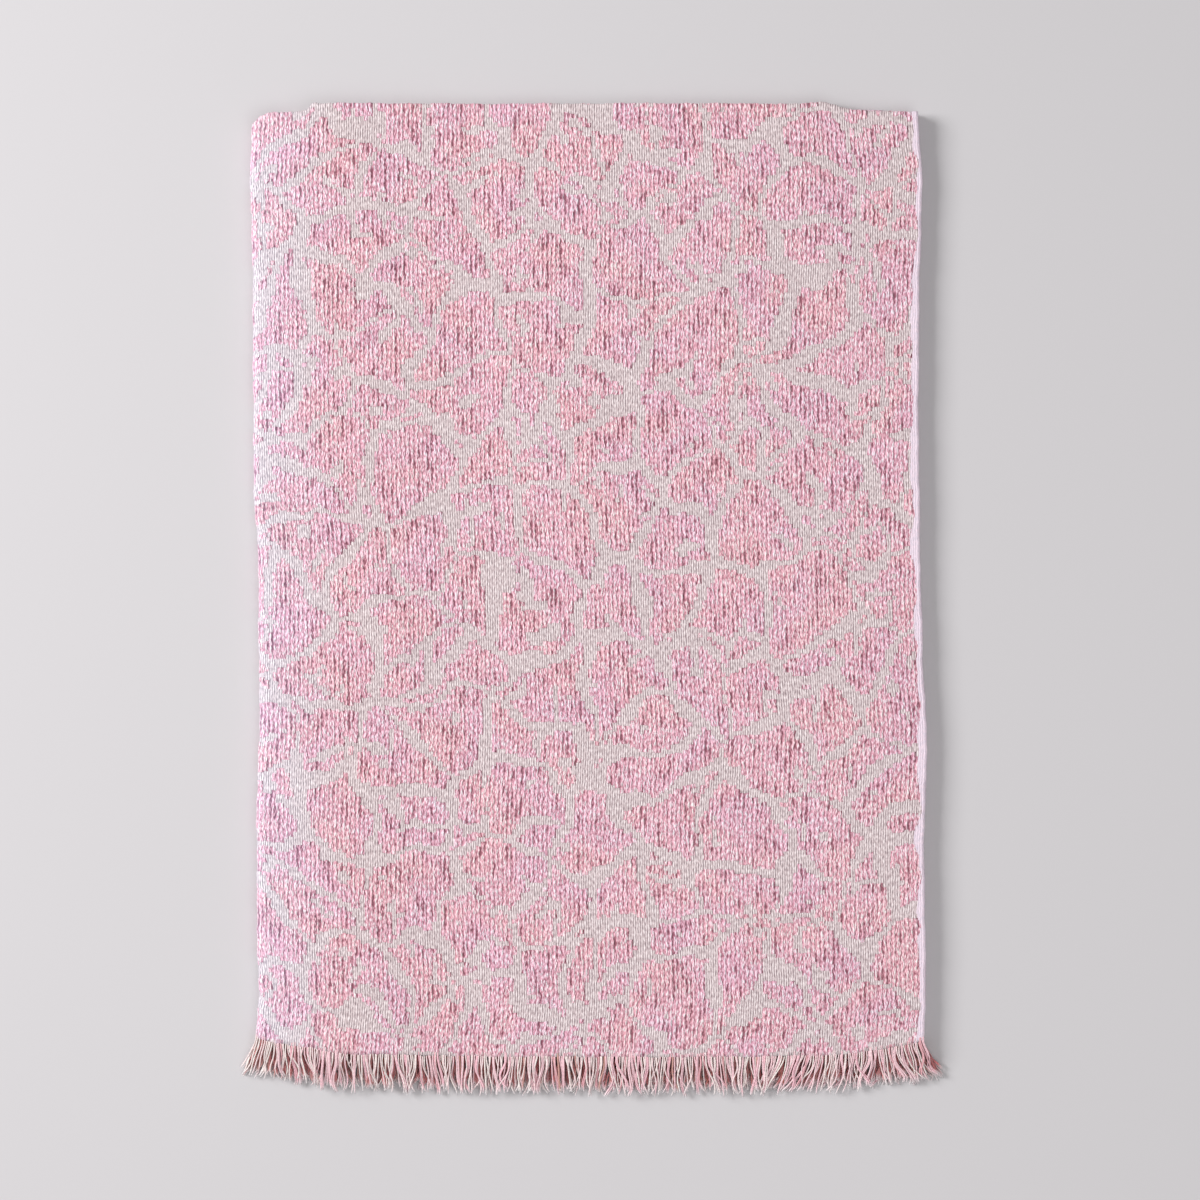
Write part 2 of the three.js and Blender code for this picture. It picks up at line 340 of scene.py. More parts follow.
class FoldPath:
    """The middle of the doubled cloth seen from the hems, by distance from its upper selvedge.

    It runs left over the raised shoulder, round the wide fold and back along the floor.
    """

    samples = 300
    least_step = 1e-9

    def __init__(self, sizes: ThrowSizes) -> None:
        """Draws the path once, finely.

        Args:
            sizes: the throw's sizes.
        """
        low = sizes.pair_reach
        high = low + 2 * sizes.layer_pitch
        right = sizes.folded_width / 2
        slope = sizes.fold_slope
        centre = np.array([sizes.fold_x, low + sizes.fold_radius])
        turn = centre + sizes.fold_radius * np.array([-math.sin(slope), math.cos(slope)])
        shoulder = turn + np.array([sizes.shoulder_width, sizes.shoulder_drop])
        pull = turn + np.array([sizes.shoulder_drop / math.tan(slope), sizes.shoulder_drop])
        rise = np.array([shoulder[0] + sizes.rise_width, high])
        half_rise = np.array([sizes.rise_width / 2, 0])
        angles = np.linspace(math.pi / 2 + slope, 1.5 * math.pi, self.samples)
        arc = centre + sizes.fold_radius * np.stack([np.cos(angles), np.sin(angles)], axis=1)
        points = np.concatenate(
            [
                self.curve(np.array([right, high]), rise),
                self.curve(rise, rise - half_rise, shoulder + half_rise, shoulder),
                self.curve(shoulder, pull, turn),
                arc,
                self.curve(arc[-1], np.array([right + sizes.lower_edge_shows, low])),
            ]
        )
        steps = np.linalg.norm(np.diff(points, axis=0), axis=1)
        moved = steps > self.least_step
        points = points[np.concatenate([[True], moved])]
        steps = steps[moved]
        self.at = np.concatenate([[0], np.cumsum(steps)])
        self.x = points[:, 0]
        self.z = points[:, 1]
        way = np.diff(points, axis=0)
        headings = np.unwrap(np.arctan2(way[:, 1], way[:, 0]) % (2 * math.pi))
        self.heading = np.interp(self.at, (self.at[1:] + self.at[:-1]) / 2, headings)
        self.leg_offset = sizes.half_pitch

    def curve(self, *pulls: np.ndarray) -> np.ndarray:
        """A straight line or Bezier curve.

        Args:
            pulls: its start, the points that pull it, and its end.

        Returns:
            Points along it.
        """
        share = np.linspace(0, 1, self.samples)[:, None]
        layer = [np.broadcast_to(pull, (self.samples, 2)) for pull in pulls]
        while len(layer) > 1:
            layer = [a * (1 - share) + b * share for a, b in zip(layer, layer[1:])]
        return layer[0]

    @property
    def length(self) -> float:
        """From the upper selvedge to the lower one."""
        return float(self.at[-1])

    def turned(self, at: np.ndarray) -> np.ndarray:
        """How far the path has turned since it set out to the left."""
        return np.interp(at, self.at, self.heading) - math.pi

    def off_middle(self, at: np.ndarray, across: np.ndarray) -> tuple[np.ndarray, np.ndarray]:
        """Places beside the path.

        Args:
            at: distances along it.
            across: distances off it, to its outer side.

        Returns:
            Their x and their z.
        """
        heading = np.interp(at, self.at, self.heading)
        x = np.interp(at, self.at, self.x) + np.sin(heading) * across
        z = np.interp(at, self.at, self.z) - np.cos(heading) * across
        return x, z

    def middle_of(self, woven: np.ndarray) -> np.ndarray:
        """Distances along the path for distances measured along the outer leg's own cloth."""
        return np.interp(woven, self.at + self.leg_offset * (self.heading - math.pi), self.at)


class FoldedStack:
    """Where any place of the flat cloth lies once it is folded, laid down and settled."""

    def __init__(self, sizes: ThrowSizes) -> None:
        """Reads the tables.

        Args:
            sizes: the throw's sizes.
        """
        self.sizes = sizes
        self.path = FoldPath(sizes)
        self.shift = np.zeros(3)
        self.crest = soft_curve(EDGE_SHIFTS, "at", "crest")
        self.hems = {
            Leg.OUTER: soft_curve(EDGE_SHIFTS, "at", "outer_hem"),
            Leg.INNER: soft_curve(EDGE_SHIFTS, "at", "inner_hem"),
        }
        self.left = soft_curve(SIDE_SHIFTS, "y", "left")
        self.right = soft_curve(SIDE_SHIFTS, "y", "right")
        self.hem_stray = {
            Leg.OUTER: Wander(SEED + 1, 1.3 * MM, (0.007, 0.013, 0.029, 0.071)),
            Leg.INNER: Wander(SEED + 2, 1.3 * MM, (0.008, 0.015, 0.031, 0.067)),
        }
        self.crest_stray = Wander(SEED + 3, 0.9 * MM, (0.0071, 0.012, 0.031, 0.083))
        self.side_stray = Wander(SEED + 4, 0.9 * MM, (0.023, 0.057, 0.134))
        self.waves = (
            SlantedWaves(Wander(SEED + 5, 0.5 * MM, (0.061, 0.097, 0.171)), 0.94, 0.34),
            SlantedWaves(Wander(SEED + 6, 0.4 * MM, (0.053, 0.113, 0.229)), -0.42, 0.91),
        )

    def hem_y(self, at: np.ndarray, leg: Leg) -> np.ndarray:
        """Where a hem lies before the stack is settled.

        Args:
            at: distances along the fold path.
            leg: the leg that ends in the hem.

        Returns:
            Its Y at each distance.
        """
        return self.sizes.hem_y + self.hems[leg].read(at) + self.hem_stray[leg].read(at)

    def settle(self, x: np.ndarray, y: np.ndarray, z: np.ndarray) -> np.ndarray:
        """Moves places of the straight stack to where the soft cloth lies, the floor staying level.

        Args:
            x: their X.
            y: their Y.
            z: their heights.

        Returns:
            The places in the frame of the solids, one row each.
        """
        across = np.clip(x / self.sizes.folded_width + 0.5, 0, 1)
        aside = self.left.read(y) * (1 - across) + self.right.read(y) * across
        near_side = (2 * across - 1) ** 5
        aside = aside + self.side_stray.read(y) * near_side
        share = np.zeros_like(x)
        for swell in SWELLS:
            away = (x / MM - swell.x) ** 2 / swell.wide**2
            away = away + (y / MM - swell.y) ** 2 / swell.long**2
            share = share + swell.rise * np.exp(-away)
        height = z * (1 + share)
        for wave in self.waves:
            stray = wave.stray.read(x * wave.along_x + y * wave.along_y)
            height = height + stray * z / self.sizes.usual_height
        return np.stack([x + aside, y, height], axis=1) + self.shift

    def cloth_place(self, at: np.ndarray, up: np.ndarray, depth: np.ndarray) -> np.ndarray:
        """Where places of the flat cloth lie.

        Args:
            at: distances along the fold path.
            up: distances from the outer hem, over the crest, towards the inner hem.
            depth: distances off the middle of the layer, to its face.

        Returns:
            The places, one row each.
        """
        sizes = self.sizes
        turn = self.crest_turn(up)
        reach = sizes.half_pitch + depth
        on_inner = up > sizes.cloth_length / 2
        hem = np.where(on_inner, self.hem_y(at, Leg.INNER), self.hem_y(at, Leg.OUTER))
        crest = -sizes.hem_y - sizes.pair_reach + self.crest.read(at) + self.crest_stray.read(at)
        from_hem = np.where(on_inner, sizes.cloth_length - up, up)
        share = np.clip(from_hem / sizes.leg_length, 0, 1)
        y = hem + (crest - hem) * share + np.sin(turn) * reach
        x, z = self.path.off_middle(at, np.cos(turn) * reach)
        return self.settle(x, y, z)

    def crest_turn(self, up: np.ndarray) -> np.ndarray:
        """How far the cloth has turned round the crest, from 0 to half a turn."""
        return np.clip((up - self.sizes.leg_length) / self.sizes.half_pitch, 0, math.pi)

    def woven_along(self, at: np.ndarray, up: np.ndarray) -> np.ndarray:
        """Distances from the selvedge measured along the layer itself, for the weave."""
        turned = self.path.turned(at)
        return at + np.cos(self.crest_turn(up)) * self.sizes.half_pitch * turned


@dataclass(frozen=True)
class Paint:
    """A colour as it looks on the screen, each part from 0 to 255."""

    red: int
    green: int
    blue: int

    @property
    def linear(self) -> tuple[float, float, float, float]:
        """Turns the colour into Blender's linear light.

        Returns:
            Its red, green, blue and a full alpha.
        """
        parts = [part / 255 for part in (self.red, self.green, self.blue)]
        light = [p / 12.92 if p <= 0.04045 else ((p + 0.055) / 1.055) ** 2.4 for p in parts]
        return (light[0], light[1], light[2], 1.0)


@dataclass(frozen=True)
class Sheen:
    """The soft shine of a cloth or a yarn, as the Principled shader takes it."""

    weight: float
    roughness: float
    specular: float


class NodeBoard:
    """Adds nodes to one tree and wires them together."""

    def __init__(self, tree: NodeTree) -> None:
        """Starts on an empty tree.

        Args:
            tree: the tree of a material, of a shader group or of geometry nodes.
        """
        self.tree = tree
        tree.nodes.clear()

    def add(self, kind: str, **settings: object) -> Node:
        """Adds one node.

        Args:
            kind: Blender's name for it.
            settings: its properties.

        Returns:
            The node.
        """
        node = self.tree.nodes.new(kind)
        for name, value in settings.items():
            setattr(node, name, value)
        return node

    def put(self, socket: NodeSocket, value: object) -> None:
        """Wires a socket, or sets its own value.

        Args:
            socket: an input.
            value: an output to wire to it, or a plain value.
        """
        if isinstance(value, NodeSocket):
            self.tree.links.new(value, socket)
        else:
            socket.default_value = value

    def fill(self, node: Node, *values: object) -> NodeSocket:
        """Fills a node's first inputs.

        Args:
            node: the node.
            values: a plain value or an output for each of them, in order.

        Returns:
            The node's first output.
        """
        for socket, value in zip(node.inputs, values):
            self.put(socket, value)
        return node.outputs[0]

    def read(self, name: str, output: str) -> NodeSocket:
        """What one of the mesh's attributes holds, in a material."""
        return self.add("ShaderNodeAttribute", attribute_name=name).outputs[output]

    def maths(self, operation: str, *values: object) -> NodeSocket:
        """The result of a Math node of one to three numbers or outputs."""
        return self.fill(self.add("ShaderNodeMath", operation=operation), *values)

    def total(self, base: float, *parts: tuple[NodeSocket, float]) -> NodeSocket:
        """Adds up values, each times its share.

        Args:
            base: what the sum starts from.
            parts: each value and its share.

        Returns:
            The sum.
        """
        result = base
        for value, share in parts:
            result = self.maths("MULTIPLY_ADD", value, share, result)
        return result

    def cosine(self, place: NodeSocket, pitch: float = 1.0) -> NodeSocket:
        """A wave of this pitch, from -1 to 1."""
        return self.maths("COSINE", self.maths("MULTIPLY", place, 2 * math.pi / pitch))

    def from_zero(self, wave: NodeSocket) -> NodeSocket:
        """A wave brought from -1..1 to 0..1."""
        return self.maths("MULTIPLY_ADD", wave, 0.5, 0.5)

    def vectors(self, operation: str, *values: object) -> NodeSocket:
        """A Vector Math node of one or two vectors.

        Args:
            operation: its operation.
            values: vectors or outputs. For SCALE, the second one is a number.

        Returns:
            Its vector.
        """
        node = self.add("ShaderNodeVectorMath", operation=operation)
        sockets = [node.inputs[0], node.inputs["Scale"]] if operation == "SCALE" else node.inputs
        for socket, value in zip(sockets, values):
            self.put(socket, value)
        return node.outputs[0]

    def split(self, vector: NodeSocket) -> tuple[NodeSocket, NodeSocket, NodeSocket]:
        """Takes a vector apart.

        Args:
            vector: the vector.

        Returns:
            Its three parts.
        """
        node = self.add("ShaderNodeSeparateXYZ")
        self.put(node.inputs[0], vector)
        return node.outputs[0], node.outputs[1], node.outputs[2]

    def join(self, *parts: object) -> NodeSocket:
        """A vector from its three parts."""
        return self.fill(self.add("ShaderNodeCombineXYZ"), *parts)

    def spread(self, value: object, low: float, high: float, start: float, end: float) -> NodeSocket:
        """Maps low..high to start..end, held at both ends.

        Args:
            value: the output to map.
            low: what becomes start.
            high: what becomes end.
            start: the result at low.
            end: the result at high.

        Returns:
            The result.
        """
        return self.fill(self.add("ShaderNodeMapRange", clamp=True), value, low, high, start, end)

    def noise(self, place: object, size: float, detail: float = 1.0) -> Node:
        """A Noise Texture on a plane.

        Args:
            place: where it is read.
            size: the width of its clouds, in the units of place.
            detail: how many finer layers it has.

        Returns:
            The node, whose first output is the value and whose second is a colour.
        """
        node = self.add("ShaderNodeTexNoise", noise_dimensions="2D")
        self.put(node.inputs["Vector"], place)
        self.put(node.inputs["Scale"], 1 / size)
        self.put(node.inputs["Detail"], detail)
        return node

    def cells(self, place: object, size: float, feature: str = "F1") -> Node:
        """A Voronoi Texture on a plane.

        Args:
            place: where it is read.
            size: the width of its cells, in the units of place.
            feature: what it measures.

        Returns:
            The node, whose first output is a distance in cells.
        """
        node = self.add("ShaderNodeTexVoronoi", voronoi_dimensions="2D", feature=feature)
        self.put(node.inputs["Vector"], place)
        self.put(node.inputs["Scale"], 1 / size)
        return node

    def blend(self, share: object, first: object, second: object) -> NodeSocket:
        """Goes from one number to another.

        Args:
            share: how much of the second there is.
            first: a number or an output.
            second: a number or an output.

        Returns:
            The number.
        """
        node = self.add("ShaderNodeMix", data_type="FLOAT")
        for name, value in zip(("Factor", "A", "B"), (share, first, second)):
            self.put(node.inputs[name], value)
        return node.outputs[0]

    def tint(self, share: object, first: object, second: object, mode: str = "MIX") -> NodeSocket:
        """Goes from one colour to another.

        Args:
            share: how much of the second there is.
            first: a Paint or an output.
            second: a Paint or an output.
            mode: how they blend.

        Returns:
            The colour.
        """
        node = self.add("ShaderNodeMix", data_type="RGBA", blend_type=mode, clamp_result=True)
        for index, value in zip((0, 6, 7), (share, first, second)):
            self.put(node.inputs[index], value.linear if isinstance(value, Paint) else value)
        return node.outputs[2]

    def ramp(self, share: NodeSocket, stops: tuple) -> NodeSocket:
        """A colour ramp.

        Args:
            share: where on the ramp.
            stops: its stops, each a place from 0 to 1 and a Paint.

        Returns:
            The colour.
        """
        node = self.add("ShaderNodeValToRGB")
        points = node.color_ramp.elements
        while len(points) < len(stops):
            points.new(1.0)
        for point, (place, paint) in zip(points, stops):
            point.position = place
            point.color = paint.linear
        self.put(node.inputs[0], share)
        return node.outputs[0]

    def surface(
        self, colour: NodeSocket, roughness: NodeSocket, height: NodeSocket, sheen: Sheen
    ) -> None:
        """Ends a material with a Principled shader under a bump.

        Args:
            colour: its colour.
            roughness: its roughness.
            height: its bumps, in mm.
            sheen: its soft shine.
        """
        bump = self.add("ShaderNodeBump")
        self.put(bump.inputs["Distance"], MM)
        self.put(bump.inputs["Height"], height)
        shader = self.add("ShaderNodeBsdfPrincipled")
        self.put(shader.inputs["Base Color"], colour)
        self.put(shader.inputs["Roughness"], roughness)
        self.put(shader.inputs["Normal"], bump.outputs["Normal"])
        self.put(shader.inputs["Sheen Weight"], sheen.weight)
        self.put(shader.inputs["Sheen Roughness"], sheen.roughness)
        self.put(shader.inputs["Specular IOR Level"], sheen.specular)
        finish = self.add("ShaderNodeOutputMaterial")
        self.put(finish.inputs["Surface"], shader.outputs["BSDF"])


@dataclass(frozen=True)
class LightShares:
    """How much each part of the weave lightens or darkens its yarn. The flecks are the yarn's own tone,
    and the loops are partly so. The ridge, the loft, the loops and the fine ribs lighten raised yarn as
    painted highlight, and the gap darkens the grooves between ribs as painted shade.
    """

    base: float
    loop: float
    fleck: float
    fine: float = 0.0
    ridge: float = 0.0
    loft: float = 0.0
    gap: float = 0.0


@dataclass(frozen=True)
class WeaveLooks:
    """What the weave has at a place.

    Masks, values from 0 to 1, and in mm the relief that the mesh takes and the height of the
    loops that are too small for it.
    """

    pale: NodeSocket
    selvedge: NodeSocket
    ridge: NodeSocket
    loft: NodeSocket
    loop: NodeSocket
    gap: NodeSocket
    fine: NodeSocket
    relief: NodeSocket
    height: NodeSocket


@dataclass(frozen=True)
class JacquardWeave:
    """The weave of the cloth: ribs along its length and a network of flat weave. All in mm.

    A size is the width of a noise's clouds, a layout the shift that gives a part its own
    place in a texture, and a span what NodeBoard.spread takes.
    """

    rib_pitch: float = 4.0
    pick_length: float = 4.0
    pick_offset: float = 0.5
    fine_pitch: float = 2.1
    tremble_size: float = 3.2
    tremble_stretch: float = 0.5
    tremble_span: Span = (0.25, 0.75, -0.5, 0.5)
    warp_size: float = 90.0
    warp_reach: float = 65.0
    kink_size: float = 26.0
    kink_reach: float = 9.0
    crackle_width: float = 62.0
    band_size: float = 40.0
    band_span: Span = (0.32, 0.68, 2.4, 6.6)
    band_layout: Place = (310.0, 90.0, 0)
    vein_width: float = 38.0
    vein_size: float = 50.0
    vein_span: Span = (0.54, 0.66, -1.0, 3.4)
    vein_layout: Place = (-70.0, 260.0, 0)
    vein_shift: Place = (17.0, 41.0, 0)
    dot_spacing: float = 33.0
    dot_span: Span = (0.6, 1.0, -4.0, 7.0)
    dot_layout: Place = (5.0, 8.0, 0)
    loop_width: float = 1.45
    loop_length: float = 5.0
    loop_span: Span = (0.12, 0.56, 1.0, 0.0)
    least_loop: float = 0.25
    rib_apart: float = 7.3
    rib_offset: float = 0.618
    loft_length: float = 11.0
    loft_span: Span = (0.28, 0.72, 0.0, 1.0)
    gap_length: float = 20.0
    gap_span: Span = (0.6, 0.72, 0.0, 1.0)
    selvedge_width: float = 5.8
    selvedge_stray: float = 3.2
    selvedge_size: float = 9.0
    selvedge_row: float = 3.0
    selvedge_range: tuple[float, float] = (0.3, 0.7)
    rib_height: float = 1.2
    valley: float = -0.4
    flat_level: float = -0.2
    swell_base: float = 0.15
    swell_rise: float = 0.3
    ridge_bump: float = 0.6
    loop_bump: float = 0.85
    gap_bump: float = -0.3
    flat_fine_bump: float = 0.09
    flat_loop_bump: float = 0.16

    def stray(
        self, board: NodeBoard, cell: NodeSocket, size: float, detail: float, reach: float
    ) -> NodeSocket:
        """How far the network is bent aside.

        Args:
            board: the tree that it is drawn in.
            cell: the middle of the weave cell.
            size: the width of a bend.
            detail: how many finer layers the bends have.
            reach: how far they go.

        Returns:
            A vector.
        """
        cloud = board.noise(cell, size, detail).outputs[1]
        return board.vectors("SCALE", board.vectors("SUBTRACT", cloud, (0.5, 0.5, 0)), reach)

    def strength(self, board: NodeBoard, cell: NodeSocket, layout: Place, size: float) -> NodeSocket:
        """A soft value that widens and thins lines, from its own place in the noise."""
        return board.noise(board.vectors("ADD", cell, layout), size, 0.0).outputs[0]

    def lines(
        self, board: NodeBoard, place: NodeSocket, width: float, reach: NodeSocket
    ) -> NodeSocket:
        """Lines between the cells of a crackle.

        Args:
            board: the tree that they are drawn in.
            place: where the crackle is read.
            width: the width of its cells.
            reach: half the width of a line.

        Returns:
            1 in the lines and 0 in the cells.
        """
        edge = board.cells(place, width, "DISTANCE_TO_EDGE").outputs[0]
        return board.maths("LESS_THAN", board.maths("MULTIPLY", edge, width), reach)

    def network(self, board: NodeBoard, cell: NodeSocket) -> NodeSocket:
        """The pale network of crackle bands, short veins and dots.

        Args:
            board: the tree that it is drawn in.
            cell: the middle of the weave cell, so that every edge is stepped.

        Returns:
            1 in the pale network and 0 in the pink cells.
        """
        bend = self.stray(board, cell, self.warp_size, 1.0, self.warp_reach)
        kink = self.stray(board, cell, self.kink_size, 0.0, self.kink_reach)
        warped = board.vectors("ADD", board.vectors("ADD", cell, bend), kink)
        apart = self.strength(board, cell, self.band_layout, self.band_size)
        band = self.lines(board, warped, self.crackle_width, board.spread(apart, *self.band_span))
        shown = self.strength(board, cell, self.vein_layout, self.vein_size)
        shifted = board.vectors("ADD", warped, self.vein_shift)
        vein = self.lines(board, shifted, self.vein_width, board.spread(shown, *self.vein_span))
        dots = board.cells(board.vectors("ADD", cell, self.dot_layout), self.dot_spacing)
        size = board.spread(board.split(dots.outputs[1])[0], *self.dot_span)
        from_dot = board.maths("MULTIPLY", dots.outputs[0], self.dot_spacing)
        dot = board.maths("LESS_THAN", from_dot, size)
        return board.maths("MAXIMUM", board.maths("MAXIMUM", band, vein), dot)

    def run(self, board: NodeBoard, rib: NodeSocket, up: NodeSocket, length: float) -> NodeSocket:
        """A value that changes along each rib by itself.

        Args:
            board: the tree that it is drawn in.
            rib: the rib's number.
            up: the distance along the cloth's length.
            length: the usual length of a change.

        Returns:
            A value about 0.5.
        """
        apart = board.maths("MULTIPLY", rib, self.rib_apart)
        share = board.maths("DIVIDE", up, length)
        shifted = board.maths("MULTIPLY_ADD", rib, self.rib_offset, share)
        return board.noise(board.join(apart, shifted, 0.0), 1.0, 0.0).outputs[0]

    def loops(self, board: NodeBoard, swayed: NodeSocket, up: NodeSocket) -> NodeSocket:
        """The loops of yarn on the ribs.

        Args:
            board: the tree that they are drawn in.
            swayed: the distance along the width, with its tremble.
            up: the distance along the length.

        Returns:
            From 0 between the loops to 1 on the highest.
        """
        across = board.maths("DIVIDE", swayed, self.loop_width)
        beads = board.cells(board.join(across, board.maths("DIVIDE", up, self.loop_length), 0.0), 1.0)
        own = board.split(beads.outputs[1])[0]
        own = board.maths("MULTIPLY_ADD", own, 1 - self.least_loop, self.least_loop)
        return board.maths("MULTIPLY", board.spread(beads.outputs[0], *self.loop_span), own)

    def build(self, board: NodeBoard, place: NodeSocket) -> WeaveLooks:
        """The whole weave.

        Args:
            board: the tree that it is drawn in.
            place: distance along the cloth's width, distance along its length and distance
                from the nearest selvedge, in metres.

        Returns:
            The weave's masks, values and height.
        """
        along, up, edge = board.split(board.vectors("SCALE", place, 1 / MM))
        tremble = board.join(along, board.maths("MULTIPLY", up, self.tremble_stretch), 0.0)
        tremble = board.noise(tremble, self.tremble_size).outputs[0]
        swayed = board.maths("ADD", along, board.spread(tremble, *self.tremble_span))
        rib_share = board.maths("DIVIDE", swayed, self.rib_pitch)
        rib = board.maths("ROUND", rib_share)
        chance = board.add("ShaderNodeTexWhiteNoise", noise_dimensions="1D")
        board.put(chance.inputs["W"], rib)
        offset = board.maths("MULTIPLY", chance.outputs[0], self.pick_offset)
        pick = board.maths("ADD", board.maths("DIVIDE", up, self.pick_length), offset)
        pick = board.maths("SUBTRACT", board.maths("FLOOR", pick), offset)
        cell_up = board.maths("MULTIPLY", board.maths("ADD", pick, 0.5), self.pick_length)
        cell = board.join(board.maths("MULTIPLY", rib, self.rib_pitch), cell_up, 0.0)
        pale = self.network(board, cell)
        row = board.join(pick, self.selvedge_row, 0.0)
        ragged = board.noise(row, self.selvedge_size, 2.0).outputs[0]
        least = self.selvedge_width - self.selvedge_stray
        most = self.selvedge_width + self.selvedge_stray
        band = board.spread(ragged, *self.selvedge_range, least, most)
        selvedge = board.maths("LESS_THAN", edge, band)
        plain = board.maths("MAXIMUM", pale, selvedge)
        ridge = board.from_zero(board.cosine(rib_share))
        loft = board.spread(self.run(board, rib, up, self.loft_length), *self.loft_span)
        loop = self.loops(board, swayed, up)
        between = board.maths("ADD", board.maths("FLOOR", rib_share), 0.5)
        gap = board.spread(self.run(board, between, up, self.gap_length), *self.gap_span)
        gap = board.maths("MULTIPLY", gap, board.maths("SUBTRACT", 1.0, ridge))
        even = board.from_zero(board.cosine(along, self.rib_pitch))
        swell = board.total(self.swell_base, (board.maths("MULTIPLY", even, loft), self.swell_rise))
        swell = board.maths("MULTIPLY_ADD", swell, self.rib_height, self.valley)
        relief = board.blend(plain, swell, self.flat_level)
        bumps = ((ridge, self.ridge_bump), (loop, self.loop_bump), (gap, self.gap_bump))
        rise = board.maths("MULTIPLY", board.total(0.0, *bumps), self.rib_height)
        fine = board.cosine(along, self.fine_pitch)
        flat = board.total(0.0, (fine, self.flat_fine_bump), (loop, self.flat_loop_bump))
        height = board.blend(plain, rise, flat)
        return WeaveLooks(pale, selvedge, ridge, loft, loop, gap, fine, relief, height)


class FibreFleck:
    """A shader group of fine flecks and fuzz, which the cloth and both fringes use."""

    name = "fibre_fleck"
    width_mm = 1.1
    fuzz_scale = 2.7
    fleck_span: Span = (0.28, 0.72, 0.0, 1.0)
    fuzz_span: Span = (0.2, 0.8, 0.0, 1.0)

    def tree(self) -> NodeTree:
        """Builds the group once.

        Returns:
            The group, with Place and Size in, and Fleck and Fuzz out.
        """
        made = bpy.data.node_groups.get(self.name)
        if made:
            return made
        made = bpy.data.node_groups.new(self.name, "ShaderNodeTree")
        board = NodeBoard(made)
        made.interface.new_socket("Place", in_out="INPUT", socket_type="NodeSocketVector")
        made.interface.new_socket("Size", in_out="INPUT", socket_type="NodeSocketFloat")
        made.interface.new_socket("Fleck", in_out="OUTPUT", socket_type="NodeSocketFloat")
        made.interface.new_socket("Fuzz", in_out="OUTPUT", socket_type="NodeSocketFloat")
        way_in = board.add("NodeGroupInput")
        way_out = board.add("NodeGroupOutput")
        share = board.maths("DIVIDE", 1.0, way_in.outputs["Size"])
        scaled = board.vectors("SCALE", way_in.outputs["Place"], share)
        fleck = board.noise(scaled, 1.0, 2.0).outputs[0]
        fuzz = board.noise(board.vectors("SCALE", scaled, self.fuzz_scale), 1.0, 2.0).outputs[0]
        board.put(way_out.inputs["Fleck"], board.spread(fleck, *self.fleck_span))
        board.put(way_out.inputs["Fuzz"], board.spread(fuzz, *self.fuzz_span))
        return made

    def place(self, board: NodeBoard, place: NodeSocket) -> tuple[NodeSocket, NodeSocket]:
        """Places the group in a material.

        Args:
            board: the material's tree.
            place: where the flecks are read, in mm.

        Returns:
            The flecks and the fuzz.
        """
        node = board.add("ShaderNodeGroup", node_tree=self.tree())
        board.put(node.inputs["Place"], place)
        board.put(node.inputs["Size"], self.width_mm)
        return node.outputs["Fleck"], node.outputs["Fuzz"]


def blank_material(name: str) -> tuple[Material, NodeBoard]:
    """Makes a material with nothing in it.

    Args:
        name: its name.

    Returns:
        The material, and the board that its nodes go on.
    """
    made = bpy.data.materials.new(name)
    made.use_nodes = True
    return made, NodeBoard(made.node_tree)


